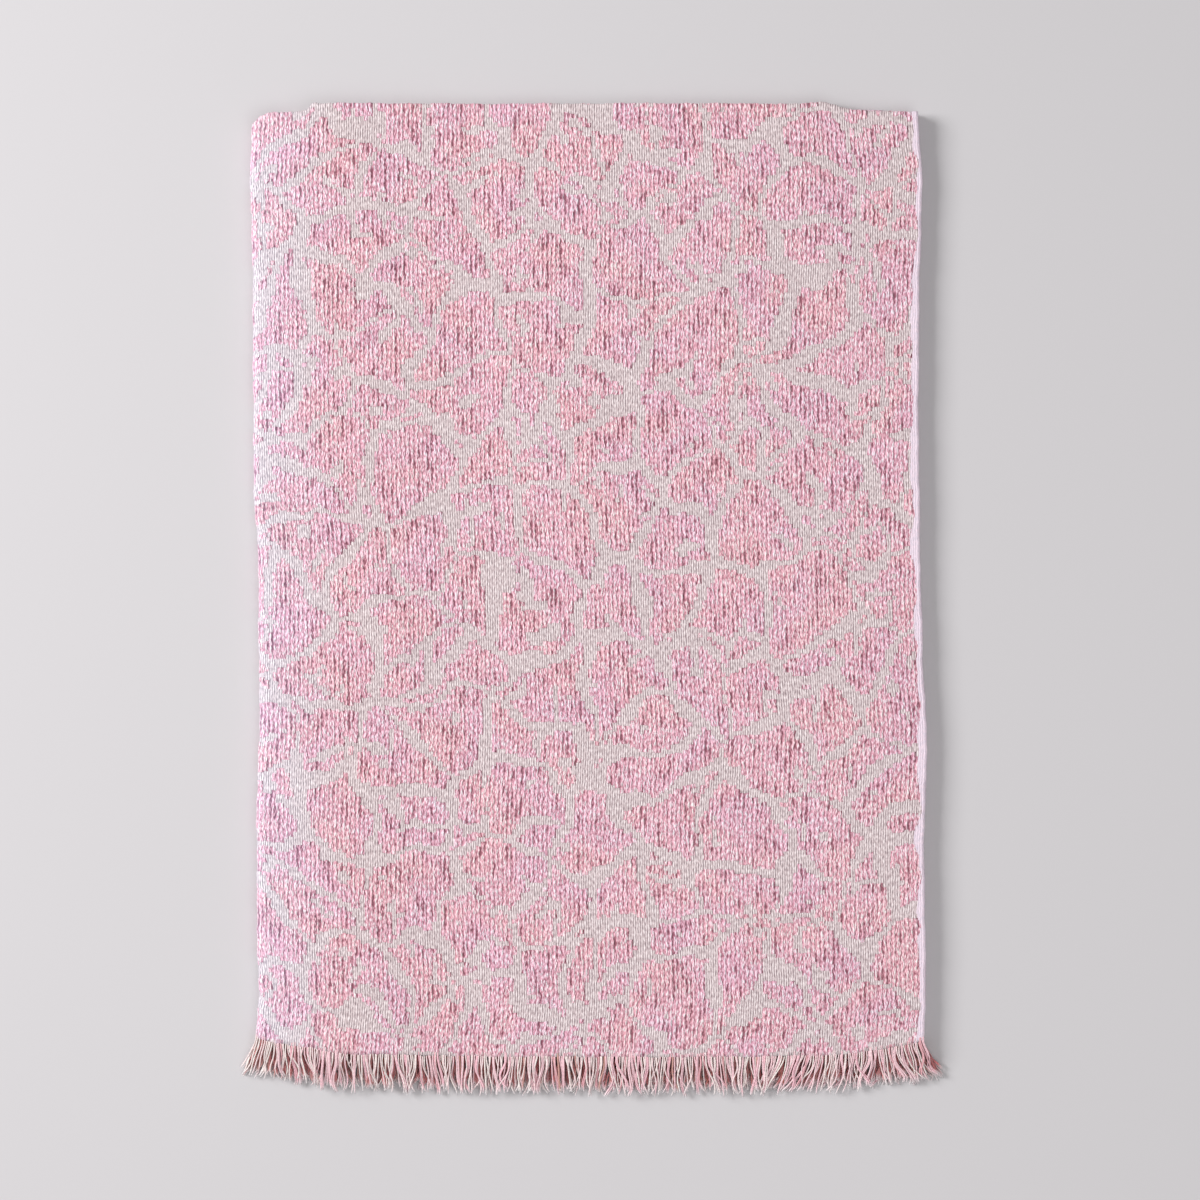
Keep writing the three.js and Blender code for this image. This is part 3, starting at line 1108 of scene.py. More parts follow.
@dataclass(frozen=True)
class JacquardFinish:
    """The cloth's finish: fluffy pink ribs, a flat pale network and a plain selvedge."""

    weave: JacquardWeave = field(default_factory=JacquardWeave)
    # The darkest stop of the pink is painted shade in the gaps between ribs. The two lightest stops are
    # painted highlight on the raised yarn, over its own tones.
    deep_shade: Paint = Paint(148, 92, 106)
    rose: Paint = Paint(206, 149, 164)
    pink: Paint = Paint(232, 176, 191)
    light: Paint = Paint(254, 219, 230)
    tip_highlight: Paint = Paint(255, 248, 251)
    # In the pale network the darkest stop is painted shade between the fine ribs, and the lightest is
    # painted highlight on them, over the yarn's own tones.
    pale_gap: Paint = Paint(152, 134, 138)
    pale: Paint = Paint(213, 194, 196)
    pale_top: Paint = Paint(252, 240, 241)
    selvedge: Paint = Paint(226, 212, 226)
    selvedge_top: Paint = Paint(248, 226, 238)
    # Painted light: a cool highlight added to the colour round the wide fold, rising over the first
    # span and fading over the second.
    fold_painted_light: Paint = Paint(50, 84, 106)
    fold_light_starts: Span = (520.0, 606.0, 0.0, 0.9)
    fold_light_ends: Span = (620.0, 640.0, 0.0, 0.9)
    warm: Paint = Paint(255, 243, 234)
    cool: Paint = Paint(248, 241, 255)
    drift_size: float = 46.0
    drift_span: Span = (0.35, 0.65, 0.0, 1.0)
    drift_share: float = 0.42
    pink_light: LightShares = LightShares(-0.085, 0.58, 0.66, ridge=0.28, loft=0.1, gap=-0.34)
    pale_light: LightShares = LightShares(0.12, 0.4, 0.56, fine=0.27)
    fleck_draw: Place = (1.0, 0.3, 0.0)
    fuzz_bump: float = 0.15
    roughness: Span = (0.0, 1.0, 1.0, 0.82)
    sheen: Sheen = Sheen(0.2, 0.5, 0.2)

    def pink_yarn(self, board: NodeBoard, level: NodeSocket, flat_mm: NodeSocket) -> NodeSocket:
        """The pink's colour, which drifts between warm and cool over the cloth.

        Args:
            board: the material's tree.
            level: how light the yarn is: its own tone, with painted highlight on raised ribs and loops
                and painted shade in the gaps between ribs.
            flat_mm: the place on the flat cloth.

        Returns:
            The colour.
        """
        # From painted shade in the gaps, through the pink's own tones, to painted highlight on the
        # raised yarn.
        stops = (
            (0.08, self.deep_shade),
            (0.3, self.rose),
            (0.5, self.pink),
            (0.74, self.light),
            (0.95, self.tip_highlight),
        )
        drift = board.noise(flat_mm, self.drift_size, 2.0).outputs[0]
        hue = board.tint(board.spread(drift, *self.drift_span), self.warm, self.cool)
        return board.tint(self.drift_share, board.ramp(level, stops), hue, "MULTIPLY")

    def material(self) -> Material:
        """Builds the material.

        Returns:
            It reads the cloth's flat place and its side.
        """
        made, board = blank_material("ribbed_jacquard")
        place = board.read(PLACE_MAP, "Vector")
        side = board.read(SIDE_MAP, "Fac")
        looks = self.weave.build(board, place)
        flat_mm = board.vectors("SCALE", place, 1 / MM)
        along = board.split(flat_mm)[0]
        fleck, fuzz = FibreFleck().place(board, board.vectors("MULTIPLY", flat_mm, self.fleck_draw))
        # The yarn's own flecks and loops, with painted highlight on ridges, loft and loops and painted
        # shade in the gaps.
        shares = self.pink_light
        level = board.total(
            shares.base,
            (looks.ridge, shares.ridge),
            (looks.loft, shares.loft),
            (looks.loop, shares.loop),
            (fleck, shares.fleck),
            (looks.gap, shares.gap),
        )
        pink = self.pink_yarn(board, level, flat_mm)
        # The yarn's own flecks, with painted highlight on the fine ribs and loops and painted shade
        # between them.
        shares = self.pale_light
        flat = ((looks.fine, shares.fine), (fleck, shares.fleck), (looks.loop, shares.loop))
        pale_level = board.total(shares.base, *flat)
        stops = ((0.05, self.pale_gap), (0.5, self.pale), (0.95, self.pale_top))
        pale = board.ramp(pale_level, stops)
        back = board.maths("SUBTRACT", 1.0, side)
        shown = board.maths("ABSOLUTE", board.maths("SUBTRACT", looks.pale, back))
        colour = board.tint(shown, pink, pale)
        # Painted light: a cool highlight added to the colour round the wide fold.
        ends = board.spread(along, *self.fold_light_ends)
        fold_lit = board.maths("SUBTRACT", board.spread(along, *self.fold_light_starts), ends)
        colour = board.tint(fold_lit, colour, self.fold_painted_light, "ADD")
        colour = board.tint(looks.selvedge, colour, board.tint(fleck, self.selvedge_top, self.selvedge))
        height = board.maths("MULTIPLY_ADD", fuzz, self.fuzz_bump, looks.height)
        board.surface(colour, board.spread(level, *self.roughness), height, self.sheen)
        return made


@dataclass(frozen=True)
class YarnFinish:
    """A fringe's finish: soft yarns from cream to rose, with pale cut tips."""

    name: str
    # Darkens and warms a fringe. For the lower fringe the darkening is painted shade under the upper
    # fringe, and the warmth is the yarns' own tone.
    undertone_and_shade: Paint = Paint(255, 255, 255)
    cream: Paint = Paint(255, 247, 242)
    blush: Paint = Paint(255, 224, 229)
    pink: Paint = Paint(252, 200, 212)
    rose: Paint = Paint(234, 178, 185)
    tan: Paint = Paint(206, 160, 142)
    cut_tip: Paint = Paint(255, 248, 250)
    shade: Paint = Paint(232, 204, 200)
    twist_mm: float = 3.4
    ply_shade: Span = (0.0, 0.5, 0.18, 0.0)
    root_shade: Span = (0.0, 0.2, 0.12, 0.0)
    tip_light: Span = (0.86, 1.0, 0.0, 0.8)
    ply_bump: float = 0.12
    fuzz_bump: float = 0.1
    roughness: Span = (0.0, 1.0, 0.95, 0.75)
    sheen: Sheen = Sheen(1.0, 0.35, 0.25)

    def material(self) -> Material:
        """Builds the material.

        Returns:
            It reads each yarn's tone, and the place along and round it.
        """
        made, board = blank_material(self.name)
        tone = board.read(TONE_MAP, "Fac")
        place = board.read(YARN_MAP, "Vector")
        around, out, share = board.split(place)
        fleck, fuzz = FibreFleck().place(board, board.vectors("SCALE", place, 1 / MM))
        stops = (
            (0.0, self.cream),
            (0.3, self.blush),
            (0.6, self.pink),
            (0.82, self.rose),
            (1.0, self.tan),
        )
        colour = board.tint(1.0, board.ramp(tone, stops), self.undertone_and_shade, "MULTIPLY")
        spin = board.maths("MULTIPLY_ADD", out, 2000 * math.pi / self.twist_mm, around)
        ply = board.from_zero(board.maths("COSINE", spin))
        dark = board.spread(board.maths("MULTIPLY", ply, fleck), *self.ply_shade)
        colour = board.tint(dark, colour, self.shade, "MULTIPLY")
        root = board.spread(share, *self.root_shade)
        colour = board.tint(root, colour, self.shade, "MULTIPLY")
        colour = board.tint(board.spread(share, *self.tip_light), colour, self.cut_tip)
        height = board.total(0.0, (ply, self.ply_bump), (fuzz, self.fuzz_bump))
        board.surface(colour, board.spread(fleck, *self.roughness), height, self.sheen)
        return made


def mesh_of(name: str, shape: bmesh.types.BMesh) -> Mesh:
    """Turns a shape into a mesh.

    Args:
        name: the mesh's name.
        shape: the shape, which is freed.

    Returns:
        The mesh.
    """
    mesh = bpy.data.meshes.new(name)
    shape.to_mesh(mesh)
    shape.free()
    return mesh


def add_object(name: str, data: object) -> Object:
    """Adds an object to the scene.

    Args:
        name: its name.
        data: its mesh, light or camera.

    Returns:
        The object.
    """
    made = bpy.data.objects.new(name, data)
    bpy.context.scene.collection.objects.link(made)
    return made


def points_of(mesh: Mesh) -> np.ndarray:
    """A mesh's points.

    Args:
        mesh: the mesh.

    Returns:
        One row of x, y and z for each vertex.
    """
    flat = np.empty(len(mesh.vertices) * 3)
    mesh.vertices.foreach_get("co", flat)
    return flat.reshape(-1, 3)


def store(mesh: Mesh, name: str, values: np.ndarray) -> None:
    """Keeps a number or vector for each vertex.

    Args:
        mesh: the mesh.
        name: the attribute's name.
        values: one number, or one row of three, for each vertex.
    """
    kind, key = ("FLOAT", "value") if values.ndim == 1 else ("FLOAT_VECTOR", "vector")
    kept = mesh.attributes.get(name) or mesh.attributes.new(name, kind, "POINT")
    kept.data.foreach_set(key, values.astype(np.float32).ravel())


def show(name: str, mesh: Mesh, material: Material, node: str) -> Object:
    """Makes a mesh a piece of the throw.

    Args:
        name: the piece's name.
        mesh: its mesh, in place.
        material: its finish.
        node: the solid that it stands for.

    Returns:
        The piece.
    """
    mesh.materials.clear()
    mesh.materials.append(material)
    mesh.shade_smooth()
    piece = add_object(name, mesh)
    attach(piece, "root")
    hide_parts(node)
    triangles = sum(len(face.vertices) - 2 for face in mesh.polygons)
    low = points_of(mesh).min(axis=0) / MM
    high = points_of(mesh).max(axis=0) / MM
    log.info("%s: %d triangles, from %s to %s mm", name, triangles, low.round(1), high.round(1))
    return piece


@dataclass(frozen=True)
class Region:
    """A part of the cloth's bake map: its corner and its scale."""

    corner: tuple[float, float]
    start: tuple[float, float]
    scale: tuple[float, float]

    def read(self, along: np.ndarray, up: np.ndarray) -> np.ndarray:
        """Places on the map.

        Args:
            along: distances along the cloth's width.
            up: distances along its length, or across its edge.

        Returns:
            One row of u and v for each.
        """
        u = self.corner[0] + (along - self.start[0]) * self.scale[0]
        v = self.corner[1] + (up - self.start[1]) * self.scale[1]
        return np.stack([u, v], axis=1)


@dataclass
class RibbedCloth:
    """The cloth: one closed sheet, finer on the face that shows.

    The fades are where the raised ribs end, and each wave of the sway is its length and its
    height. The sizes of the map and of its strips are shares of the map.
    """

    stack: FoldedStack
    finish: JacquardFinish
    wide_column: float = 12 * MM
    wide_columns: int = 48
    column_cuts: int = 5
    fold_column: float = 2 * MM
    fold_columns: int = 20
    under_columns: int = 39
    outer_rows: int = 71
    row_cuts: int = 2
    crest_rows: int = 8
    inner_rows: int = 46
    rib_sway: float = 0.25 * MM
    sway_waves: tuple[tuple[float, float], ...] = ((0.015, 0.35), (0.027, 0.4), (0.061, 0.45))
    sway_step: float = 1.1
    fade_before_fold: float = 6 * MM
    fade_after_fold: float = 8 * MM
    fade_on_crest: float = 0.6
    selvedge_fade: tuple[float, float] = (2 * MM, 14 * MM)
    map_margin: float = 0.006
    map_end: float = 0.994
    strip_height: float = 0.012
    strip_step: float = 0.018
    wall_reach: float = 20 * MM

    @property
    def shown_width(self) -> float:
        """From the selvedge to the end of the wide fold."""
        return self.wide_columns * self.wide_column + self.fold_columns * self.fold_column

    @property
    def shown_length(self) -> float:
        """From the outer hem to the end of the crest."""
        return self.stack.sizes.leg_length + self.stack.sizes.crest_length

    def columns(self) -> np.ndarray:
        """Spaces the grid's lines across the width.

        Returns:
            Their distances from the selvedge, along the outer leg's own cloth.
        """
        shown = np.arange(self.wide_columns + 1) * self.wide_column
        fold = shown[-1] + np.arange(1, self.fold_columns + 1) * self.fold_column
        end = self.stack.woven_along(np.array([self.stack.path.length]), np.zeros(1))[0]
        under = np.linspace(fold[-1], end, self.under_columns + 1)[1:]
        return np.concatenate([shown, fold, under])

    def rows(self) -> np.ndarray:
        """Spaces the grid's lines along the length.

        Returns:
            Their distances from the outer hem.
        """
        sizes = self.stack.sizes
        outer = np.linspace(0, sizes.leg_length, self.outer_rows + 1)
        crest = sizes.leg_length + np.linspace(0, sizes.crest_length, self.crest_rows + 1)[1:]
        inner = np.linspace(crest[-1], sizes.cloth_length, self.inner_rows + 1)[1:]
        return np.concatenate([outer, crest, inner])

    def flat_grid(self, columns: int, rows: int) -> bmesh.types.BMesh:
        """The closed flat sheet, with its grid's line numbers as coordinates.

        Args:
            columns: how many columns the grid has.
            rows: how many rows.

        Returns:
            The sheet, with its face at height 0 and its finer part cut.
        """
        sheet = bmesh.new()
        bmesh.ops.create_grid(sheet, x_segments=columns, y_segments=rows, size=0.5)
        bmesh.ops.solidify(sheet, geom=sheet.faces[:], thickness=self.stack.sizes.thickness)
        bmesh.ops.translate(sheet, verts=sheet.verts[:], vec=(0.5, 0.5, 0))
        bmesh.ops.scale(sheet, verts=sheet.verts[:], vec=(columns, rows, 1))
        shown_rows = self.outer_rows + self.crest_rows
        across = self.face_edges(sheet, 0, self.wide_columns, shown_rows)
        bmesh.ops.subdivide_edges(sheet, edges=across, cuts=self.column_cuts)
        fine_columns = self.wide_columns + self.fold_columns
        lengthwise = self.face_edges(sheet, 1, fine_columns, self.outer_rows)
        bmesh.ops.subdivide_edges(sheet, edges=lengthwise, cuts=self.row_cuts)
        return sheet

    def face_edges(self, sheet: bmesh.types.BMesh, way: int, columns: int, rows: int) -> list:
        """Edges of the face that run one way, in its first columns and rows.

        Args:
            sheet: the sheet.
            way: 0 for edges across the columns, 1 for edges along them.
            columns: how many of the first columns count.
            rows: how many of the first rows count.

        Returns:
            The edges.
        """
        found = []
        for edge in sheet.edges:
            start, end = (vert.co for vert in edge.verts)
            middle = (start + end) / 2
            along, aside = abs(end[way] - start[way]), abs(end[1 - way] - start[1 - way])
            inside = middle.x < columns + LINE_SLACK and middle.y < rows + LINE_SLACK
            if along > LINE_SLACK > aside and inside and middle.z > -LENGTH_SLACK:
                found.append(edge)
        return found

    def relief(self, mesh: Mesh) -> np.ndarray:
        """The weave's height at each vertex, read from the same nodes as the finish.

        Args:
            mesh: the flat sheet with its places stored.

        Returns:
            Heights in metres.
        """
        tree = bpy.data.node_groups.new(HEIGHT_MAP, "GeometryNodeTree")
        board = NodeBoard(tree)
        tree.interface.new_socket("Geometry", in_out="INPUT", socket_type="NodeSocketGeometry")
        tree.interface.new_socket("Geometry", in_out="OUTPUT", socket_type="NodeSocketGeometry")
        named = board.add("GeometryNodeInputNamedAttribute", data_type="FLOAT_VECTOR")
        board.put(named.inputs["Name"], PLACE_MAP)
        looks = self.finish.weave.build(board, named.outputs["Attribute"])
        kept = board.add("GeometryNodeStoreNamedAttribute", data_type="FLOAT", domain="POINT")
        board.put(kept.inputs["Geometry"], board.add("NodeGroupInput").outputs[0])
        board.put(kept.inputs["Name"], HEIGHT_MAP)
        board.put(kept.inputs["Value"], looks.relief)
        board.put(board.add("NodeGroupOutput").inputs[0], kept.outputs["Geometry"])
        reader = add_object("weave_reader", mesh)
        reader.modifiers.new(HEIGHT_MAP, "NODES").node_group = tree
        shown = reader.evaluated_get(bpy.context.evaluated_depsgraph_get())
        heights = np.empty(len(mesh.vertices), np.float32)
        shown.data.attributes[HEIGHT_MAP].data.foreach_get("value", heights)
        bpy.data.objects.remove(reader)
        bpy.data.node_groups.remove(tree)
        return heights * MM

    def sway(self, along: np.ndarray, up: np.ndarray) -> np.ndarray:
        """How far each rib strays sideways.

        Args:
            along: distances along the cloth's width.
            up: distances along its length.

        Returns:
            One stray for each place.
        """
        pitch = self.finish.weave.rib_pitch * MM
        ribs = int(along.max() / pitch) + 3
        chance = np.random.default_rng(SEED + 20)
        rib = np.clip(along / pitch, 0, ribs - 2)
        lower = rib.astype(int)
        moved = np.zeros_like(along)
        for length, height in self.sway_waves:
            start = np.cumsum(chance.normal(0, self.sway_step, ribs))
            waves = [np.sin(2 * math.pi * up / length + start[lower + step]) for step in (0, 1)]
            moved += height * (waves[0] + (waves[1] - waves[0]) * (rib - lower))
        return moved * self.rib_sway

    def map_regions(self, width: float) -> tuple[dict[str, Region], float]:
        """Shares out the bake map: most of it to the face that shows.

        Args:
            width: the cloth's whole width.

        Returns:
            The place of each part of the cloth, and how high up the map they reach.
        """
        sizes = self.stack.sizes
        margin = self.map_margin
        large = (self.map_end - margin) / self.shown_length
        left = margin + self.shown_width * large + margin
        small = (self.map_end - left) / width
        tops = [margin]
        for height in (sizes.cloth_length, sizes.leg_length, self.shown_length):
            tops.append(tops[-1] + height * small + margin)
        regions = {
            "shown": Region((margin, margin), (0, 0), (large, large)),
            "back": Region((left, tops[0]), (0, 0), (small, small)),
            "inner": Region((left, tops[1]), (0, self.shown_length), (small, small)),
            "under": Region((left, tops[2]), (self.shown_width, 0), (small, small)),
        }
        return regions, tops[3]

    def bake_map(self, mesh: Mesh, along: np.ndarray, up: np.ndarray, face: np.ndarray) -> None:
        """Gives the face that shows most of the bake map, and the hidden parts the rest.

        Args:
            mesh: the sheet.
            along: each vertex's distance along the width.
            up: each vertex's distance along the length.
            face: whether each vertex is on the face.
        """
        sizes = self.stack.sizes
        width = float(along.max())
        regions, top = self.map_regions(width)
        left = regions["back"].corner[0]
        corners = np.empty(len(mesh.loops), np.int32)
        mesh.loops.foreach_get("vertex_index", corners)
        sides = np.empty(len(mesh.polygons), np.int32)
        mesh.polygons.foreach_get("loop_total", sides)
        owner = np.repeat(np.arange(len(mesh.polygons)), sides)

        def mean(values: np.ndarray) -> np.ndarray:
            """The mean over each face, given back for each corner."""
            return (np.bincount(owner, values[corners]) / sides)[owner]

        on_face, mid_along, mid_up = mean(face.astype(float)), mean(along), mean(up)
        names = np.where(mid_along > self.shown_width, "under", "shown")
        names = np.where(mid_up > self.shown_length, "inner", names)
        names = np.where(on_face < SHARE_SLACK, "back", names)
        places = np.zeros((len(corners), 2))
        for name, region in regions.items():
            here = (names == name)[:, None]
            places = np.where(here, region.read(along[corners], up[corners]), places)
        depth = np.where(face[corners], sizes.thickness, 0)
        wall = (on_face > SHARE_SLACK) & (on_face < 1 - SHARE_SLACK)
        walls = (
            (mid_up < MM / 10, along, width),
            (mid_up > sizes.cloth_length - MM / 10, along, width),
            (mid_along < MM / 10, up, sizes.cloth_length),
            (mid_along > width - self.wall_reach, up, sizes.cloth_length),
        )
        for step, (here, run, length) in enumerate(walls):
            scale = ((self.map_end - left) / length, self.strip_height / sizes.thickness)
            strip = Region((left, top + self.strip_step * step), (0, 0), scale)
            chosen = (wall & here)[:, None]
            places = np.where(chosen, strip.read(run[corners], depth), places)
            wall = wall & ~here
        layer = mesh.uv_layers.new(name=BAKE_MAP)
        layer.data.foreach_set("uv", places.astype(np.float32).ravel())

    def top_share(self, at: np.ndarray, up: np.ndarray) -> np.ndarray:
        """Where the face lies on top, so that its ribs are raised.

        Args:
            at: distances along the fold path.
            up: distances from the outer hem.

        Returns:
            1 on top, and 0 from the fold and from the crest on.
        """
        sizes = self.stack.sizes
        fold = sizes.folded_width
        crest = sizes.leg_length + self.fade_on_crest * sizes.crest_length
        on_top = 1 - ease(at, fold - self.fade_before_fold, fold + self.fade_after_fold)
        return on_top * (1 - ease(up, crest, self.shown_length))

    def place_stack(self, places: np.ndarray) -> None:
        """Shifts the stack so that the plain sheet lies over its solid.

        Args:
            places: the plain sheet's places before the shift.
        """
        low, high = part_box("cloth")
        middle = (places.max(axis=0) + places.min(axis=0)) / 2
        shift_x = (low.x + high.x) / 2 - middle[0]
        shift_y = (low.y + high.y) / 2 - middle[1]
        self.stack.shift = np.array([shift_x, shift_y, 0])
        log.info("stack shifted by %s mm", (self.stack.shift / MM).round(2))

    def build(self) -> Object:
        """Makes the sheet, raises its ribs and folds it.

        Returns:
            The cloth as a piece.
        """
        sizes = self.stack.sizes
        columns, rows = self.columns(), self.rows()
        sheet = self.flat_grid(len(columns) - 1, len(rows) - 1)
        bmesh.ops.reverse_faces(sheet, faces=sheet.faces[:])
        mesh = mesh_of("cloth_sheet", sheet)
        lines = points_of(mesh)
        along = np.interp(lines[:, 0], np.arange(len(columns)), columns)
        up = np.interp(lines[:, 1], np.arange(len(rows)), rows)
        face = lines[:, 2] > -sizes.thickness / 2
        at = self.stack.path.middle_of(along)
        woven = self.stack.woven_along(at, up)
        edge = np.minimum(at, self.stack.path.length - at)
        self.bake_map(mesh, along, up, face)
        store(mesh, PLACE_MAP, np.stack([woven, up, edge], axis=1))
        store(mesh, SIDE_MAP, face.astype(float))
        raised = face * self.top_share(at, up)
        depth = np.where(face, sizes.thickness, -sizes.thickness) / 2
        self.place_stack(self.stack.cloth_place(at, up, depth))
        inside = ease(edge, *self.selvedge_fade)
        moved = at + self.sway(woven, up) * raised * inside
        places = self.stack.cloth_place(moved, up, depth + self.relief(mesh) * raised)
        mesh.vertices.foreach_set("co", places.ravel())
        mesh.update()
        return show("throw_cloth", mesh, self.finish.material(), "cloth")


@dataclass(frozen=True)
class YarnKind:
    """One kind of yarn: its share of the outer and inner fringe, its look and its filaments."""

    shares: tuple[float, float]
    tones: tuple[float, float]
    radius: float
    filaments: int
    splay: float


# Each kind's second share, for the lower fringe, leans to rose and tan: partly painted shade under the
# upper fringe, partly the yarns' own tones.
CREAM_YARN = YarnKind((0.54, 0.24), (0.0, 0.25), 0.6 * MM, 1, 0)
BLUSH_YARN = YarnKind((0.2, 0.16), (0.25, 0.5), 0.62 * MM, 1, 0)
PINK_TUFT = YarnKind((0.2, 0.2), (0.35, 0.6), 0.58 * MM, 4, 1.5 * MM)
ROSE_YARN = YarnKind((0.04, 0.26), (0.7, 0.86), 0.65 * MM, 2, 0.9 * MM)
TAN_YARN = YarnKind((0.02, 0.14), (0.9, 1.0), 0.75 * MM, 1, 0)
YARN_KINDS = (CREAM_YARN, BLUSH_YARN, PINK_TUFT, ROSE_YARN, TAN_YARN)


@dataclass(frozen=True)
class Strands:
    """Every filament of a fringe: one number for each in every field."""

    at: np.ndarray
    length: np.ndarray
    radius: np.ndarray
    tone: np.ndarray
    lean: np.ndarray
    curl: np.ndarray
    phase: np.ndarray
    aside: np.ndarray
    lift: np.ndarray
    sink: np.ndarray
    loop: np.ndarray


@dataclass
class CutFringe:
    """The yarns left uncovered at one hem, through the whole fold.

    A range or a spread is what the random draws keep to. The waves' lengths are in metres, and
    every power says how slowly a yarn leaves its root in one of its ways.
    """

    stack: FoldedStack
    leg: Leg
    finish: YarnFinish
    seed: int
    pitch: float = 1.75 * MM
    root: float = 3 * MM
    length: float = 34 * MM
    length_spread: float = 5 * MM
    clump_pitch: float = 10 * MM
    root_lift: float = 0.6 * MM
    sides: int = 5
    rings: int = 8
    loop_at: float = -1.0
    loop_depth: float = 9 * MM
    loop_width: float = 7 * MM
    corner_width: float = 22 * MM
    corner_fade: float = 0.6
    place_stray: float = 0.3
    clump_stray: float = 0.35
    clump_draw: tuple[float, float] = (0.1, 0.8)
    length_range: tuple[float, float] = (-1, 0.6)
    own_length_mm: float = 1.2
    radius_range: tuple[float, float] = (0.85, 1.15)
    root_splay: float = 0.35
    tip_splay: float = 0.65
    drift: float = 5.5 * MM
    drift_waves: tuple[float, ...] = (0.027, 0.061, 0.13)
    bend: float = 5 * MM
    bend_waves: tuple[float, ...] = (0.017, 0.041)
    curl_turn: float = 5
    phase: float = 1.2
    phase_spread: float = 0.7
    sink_range: tuple[float, float] = (0.4, 0.72)
    lean_spread: float = 3.0 * MM
    curl_spread: float = 1.5 * MM
    own_curl: float = 0.2 * MM
    least_splay: float = 0.9 * MM
    loop_tone: float = 0.1
    loop_radius: float = 0.5 * MM
    lean_power: float = 1.4
    splay_power: float = 0.8
    tip_power: float = 1.5
    lift_at_root: float = 0.25
    off_floor: float = 1.02
    fluff: float = 0.12
    fluff_turn: float = 2.1

    def strand_template(self) -> Mesh:
        """One straight closed strand of unit radius, from 0 to 1 along Z.

        Returns:
            Its mesh.
        """
        strand = bmesh.new()
        bmesh.ops.create_cone(
            strand, cap_ends=True, segments=self.sides, radius1=1, radius2=1, depth=1
        )
        long_edges = [e for e in strand.edges if abs(e.verts[0].co.z - e.verts[1].co.z) > 0.5]
        bmesh.ops.subdivide_edges(strand, edges=long_edges, cuts=self.rings - 1)
        bmesh.ops.translate(strand, verts=strand.verts[:], vec=(0, 0, 0.5))
        return mesh_of("strand", strand)

    def strands(self) -> Strands:
        """Chooses every filament.

        Returns:
            Their places, sizes and ways of lying.
        """
        chance = np.random.default_rng(self.seed)
        count = int(self.stack.path.length / self.pitch)
        stray = chance.uniform(-self.place_stray, self.place_stray, count)
        at = (np.arange(count) + 0.5 + stray) * self.pitch
        shares = [kind.shares[0 if self.leg is Leg.OUTER else 1] for kind in YARN_KINDS]
        kinds = chance.choice(len(YARN_KINDS), count, p=shares)
        many = np.array([YARN_KINDS[kind].filaments for kind in kinds])
        yarn = np.repeat(np.arange(count), many)
        kind_of = [YARN_KINDS[kinds[k]] for k in yarn]
        low = np.array([kind.tones[0] for kind in kind_of])
        high = np.array([kind.tones[1] for kind in kind_of])
        total = len(yarn)
        clump_count = int(self.stack.path.length / self.clump_pitch) + 3
        stray = chance.uniform(-self.clump_stray, self.clump_stray, clump_count)
        clumps = (np.arange(clump_count) + stray) * self.clump_pitch
        nearest = clumps[np.abs(clumps[None, :] - at[:, None]).argmin(axis=1)]
        draw = (nearest - at) * chance.uniform(*self.clump_draw, count)
        drift = Wander(self.seed + 1, self.drift, self.drift_waves).read(at)
        bend = Wander(self.seed + 2, self.bend, self.bend_waves).read(at)
        lean = draw + drift + chance.normal(0, self.lean_spread, count)
        length = self.length + self.length_spread * chance.uniform(*self.length_range, count)
        splay = np.array([kind.splay for kind in kind_of])
        own = chance.uniform(-1, 1, total)
        from_corner = (at - self.stack.sizes.folded_width) / self.corner_width
        fade = 1 - self.corner_fade * np.exp(-(from_corner**2))[yarn]
        own_length = chance.uniform(-self.own_length_mm, self.own_length_mm, total) * MM
        radius = np.array([kind.radius for kind in kind_of])
        radius = radius * chance.uniform(*self.radius_range, total)
        tone = (low + (high - low) * chance.uniform(0, 1, count)[yarn]) * fade
        curl = (bend + chance.normal(0, self.curl_spread, count))[yarn]
        curl = curl + chance.normal(0, self.own_curl, total)
        made = Strands(
            at=at[yarn] + own * splay * self.root_splay,
            length=length[yarn] + own_length,
            radius=radius,
            tone=tone,
            lean=lean[yarn],
            curl=curl,
            phase=(self.phase + chance.normal(0, self.phase_spread, count))[yarn],
            aside=own * splay * self.tip_splay,
            lift=chance.uniform(-1, 1, total) * np.maximum(splay, self.least_splay),
            sink=chance.uniform(*self.sink_range, count)[yarn],
            loop=np.zeros(total),
        )
        if self.loop_at > 0:
            index = int(np.abs(made.at - self.loop_at).argmin())
            made.at[index] = self.loop_at
            made.loop[index] = 1
            made.tone[index] = self.loop_tone
            made.radius[index] = self.loop_radius
            made.aside[index] = 0
        return made

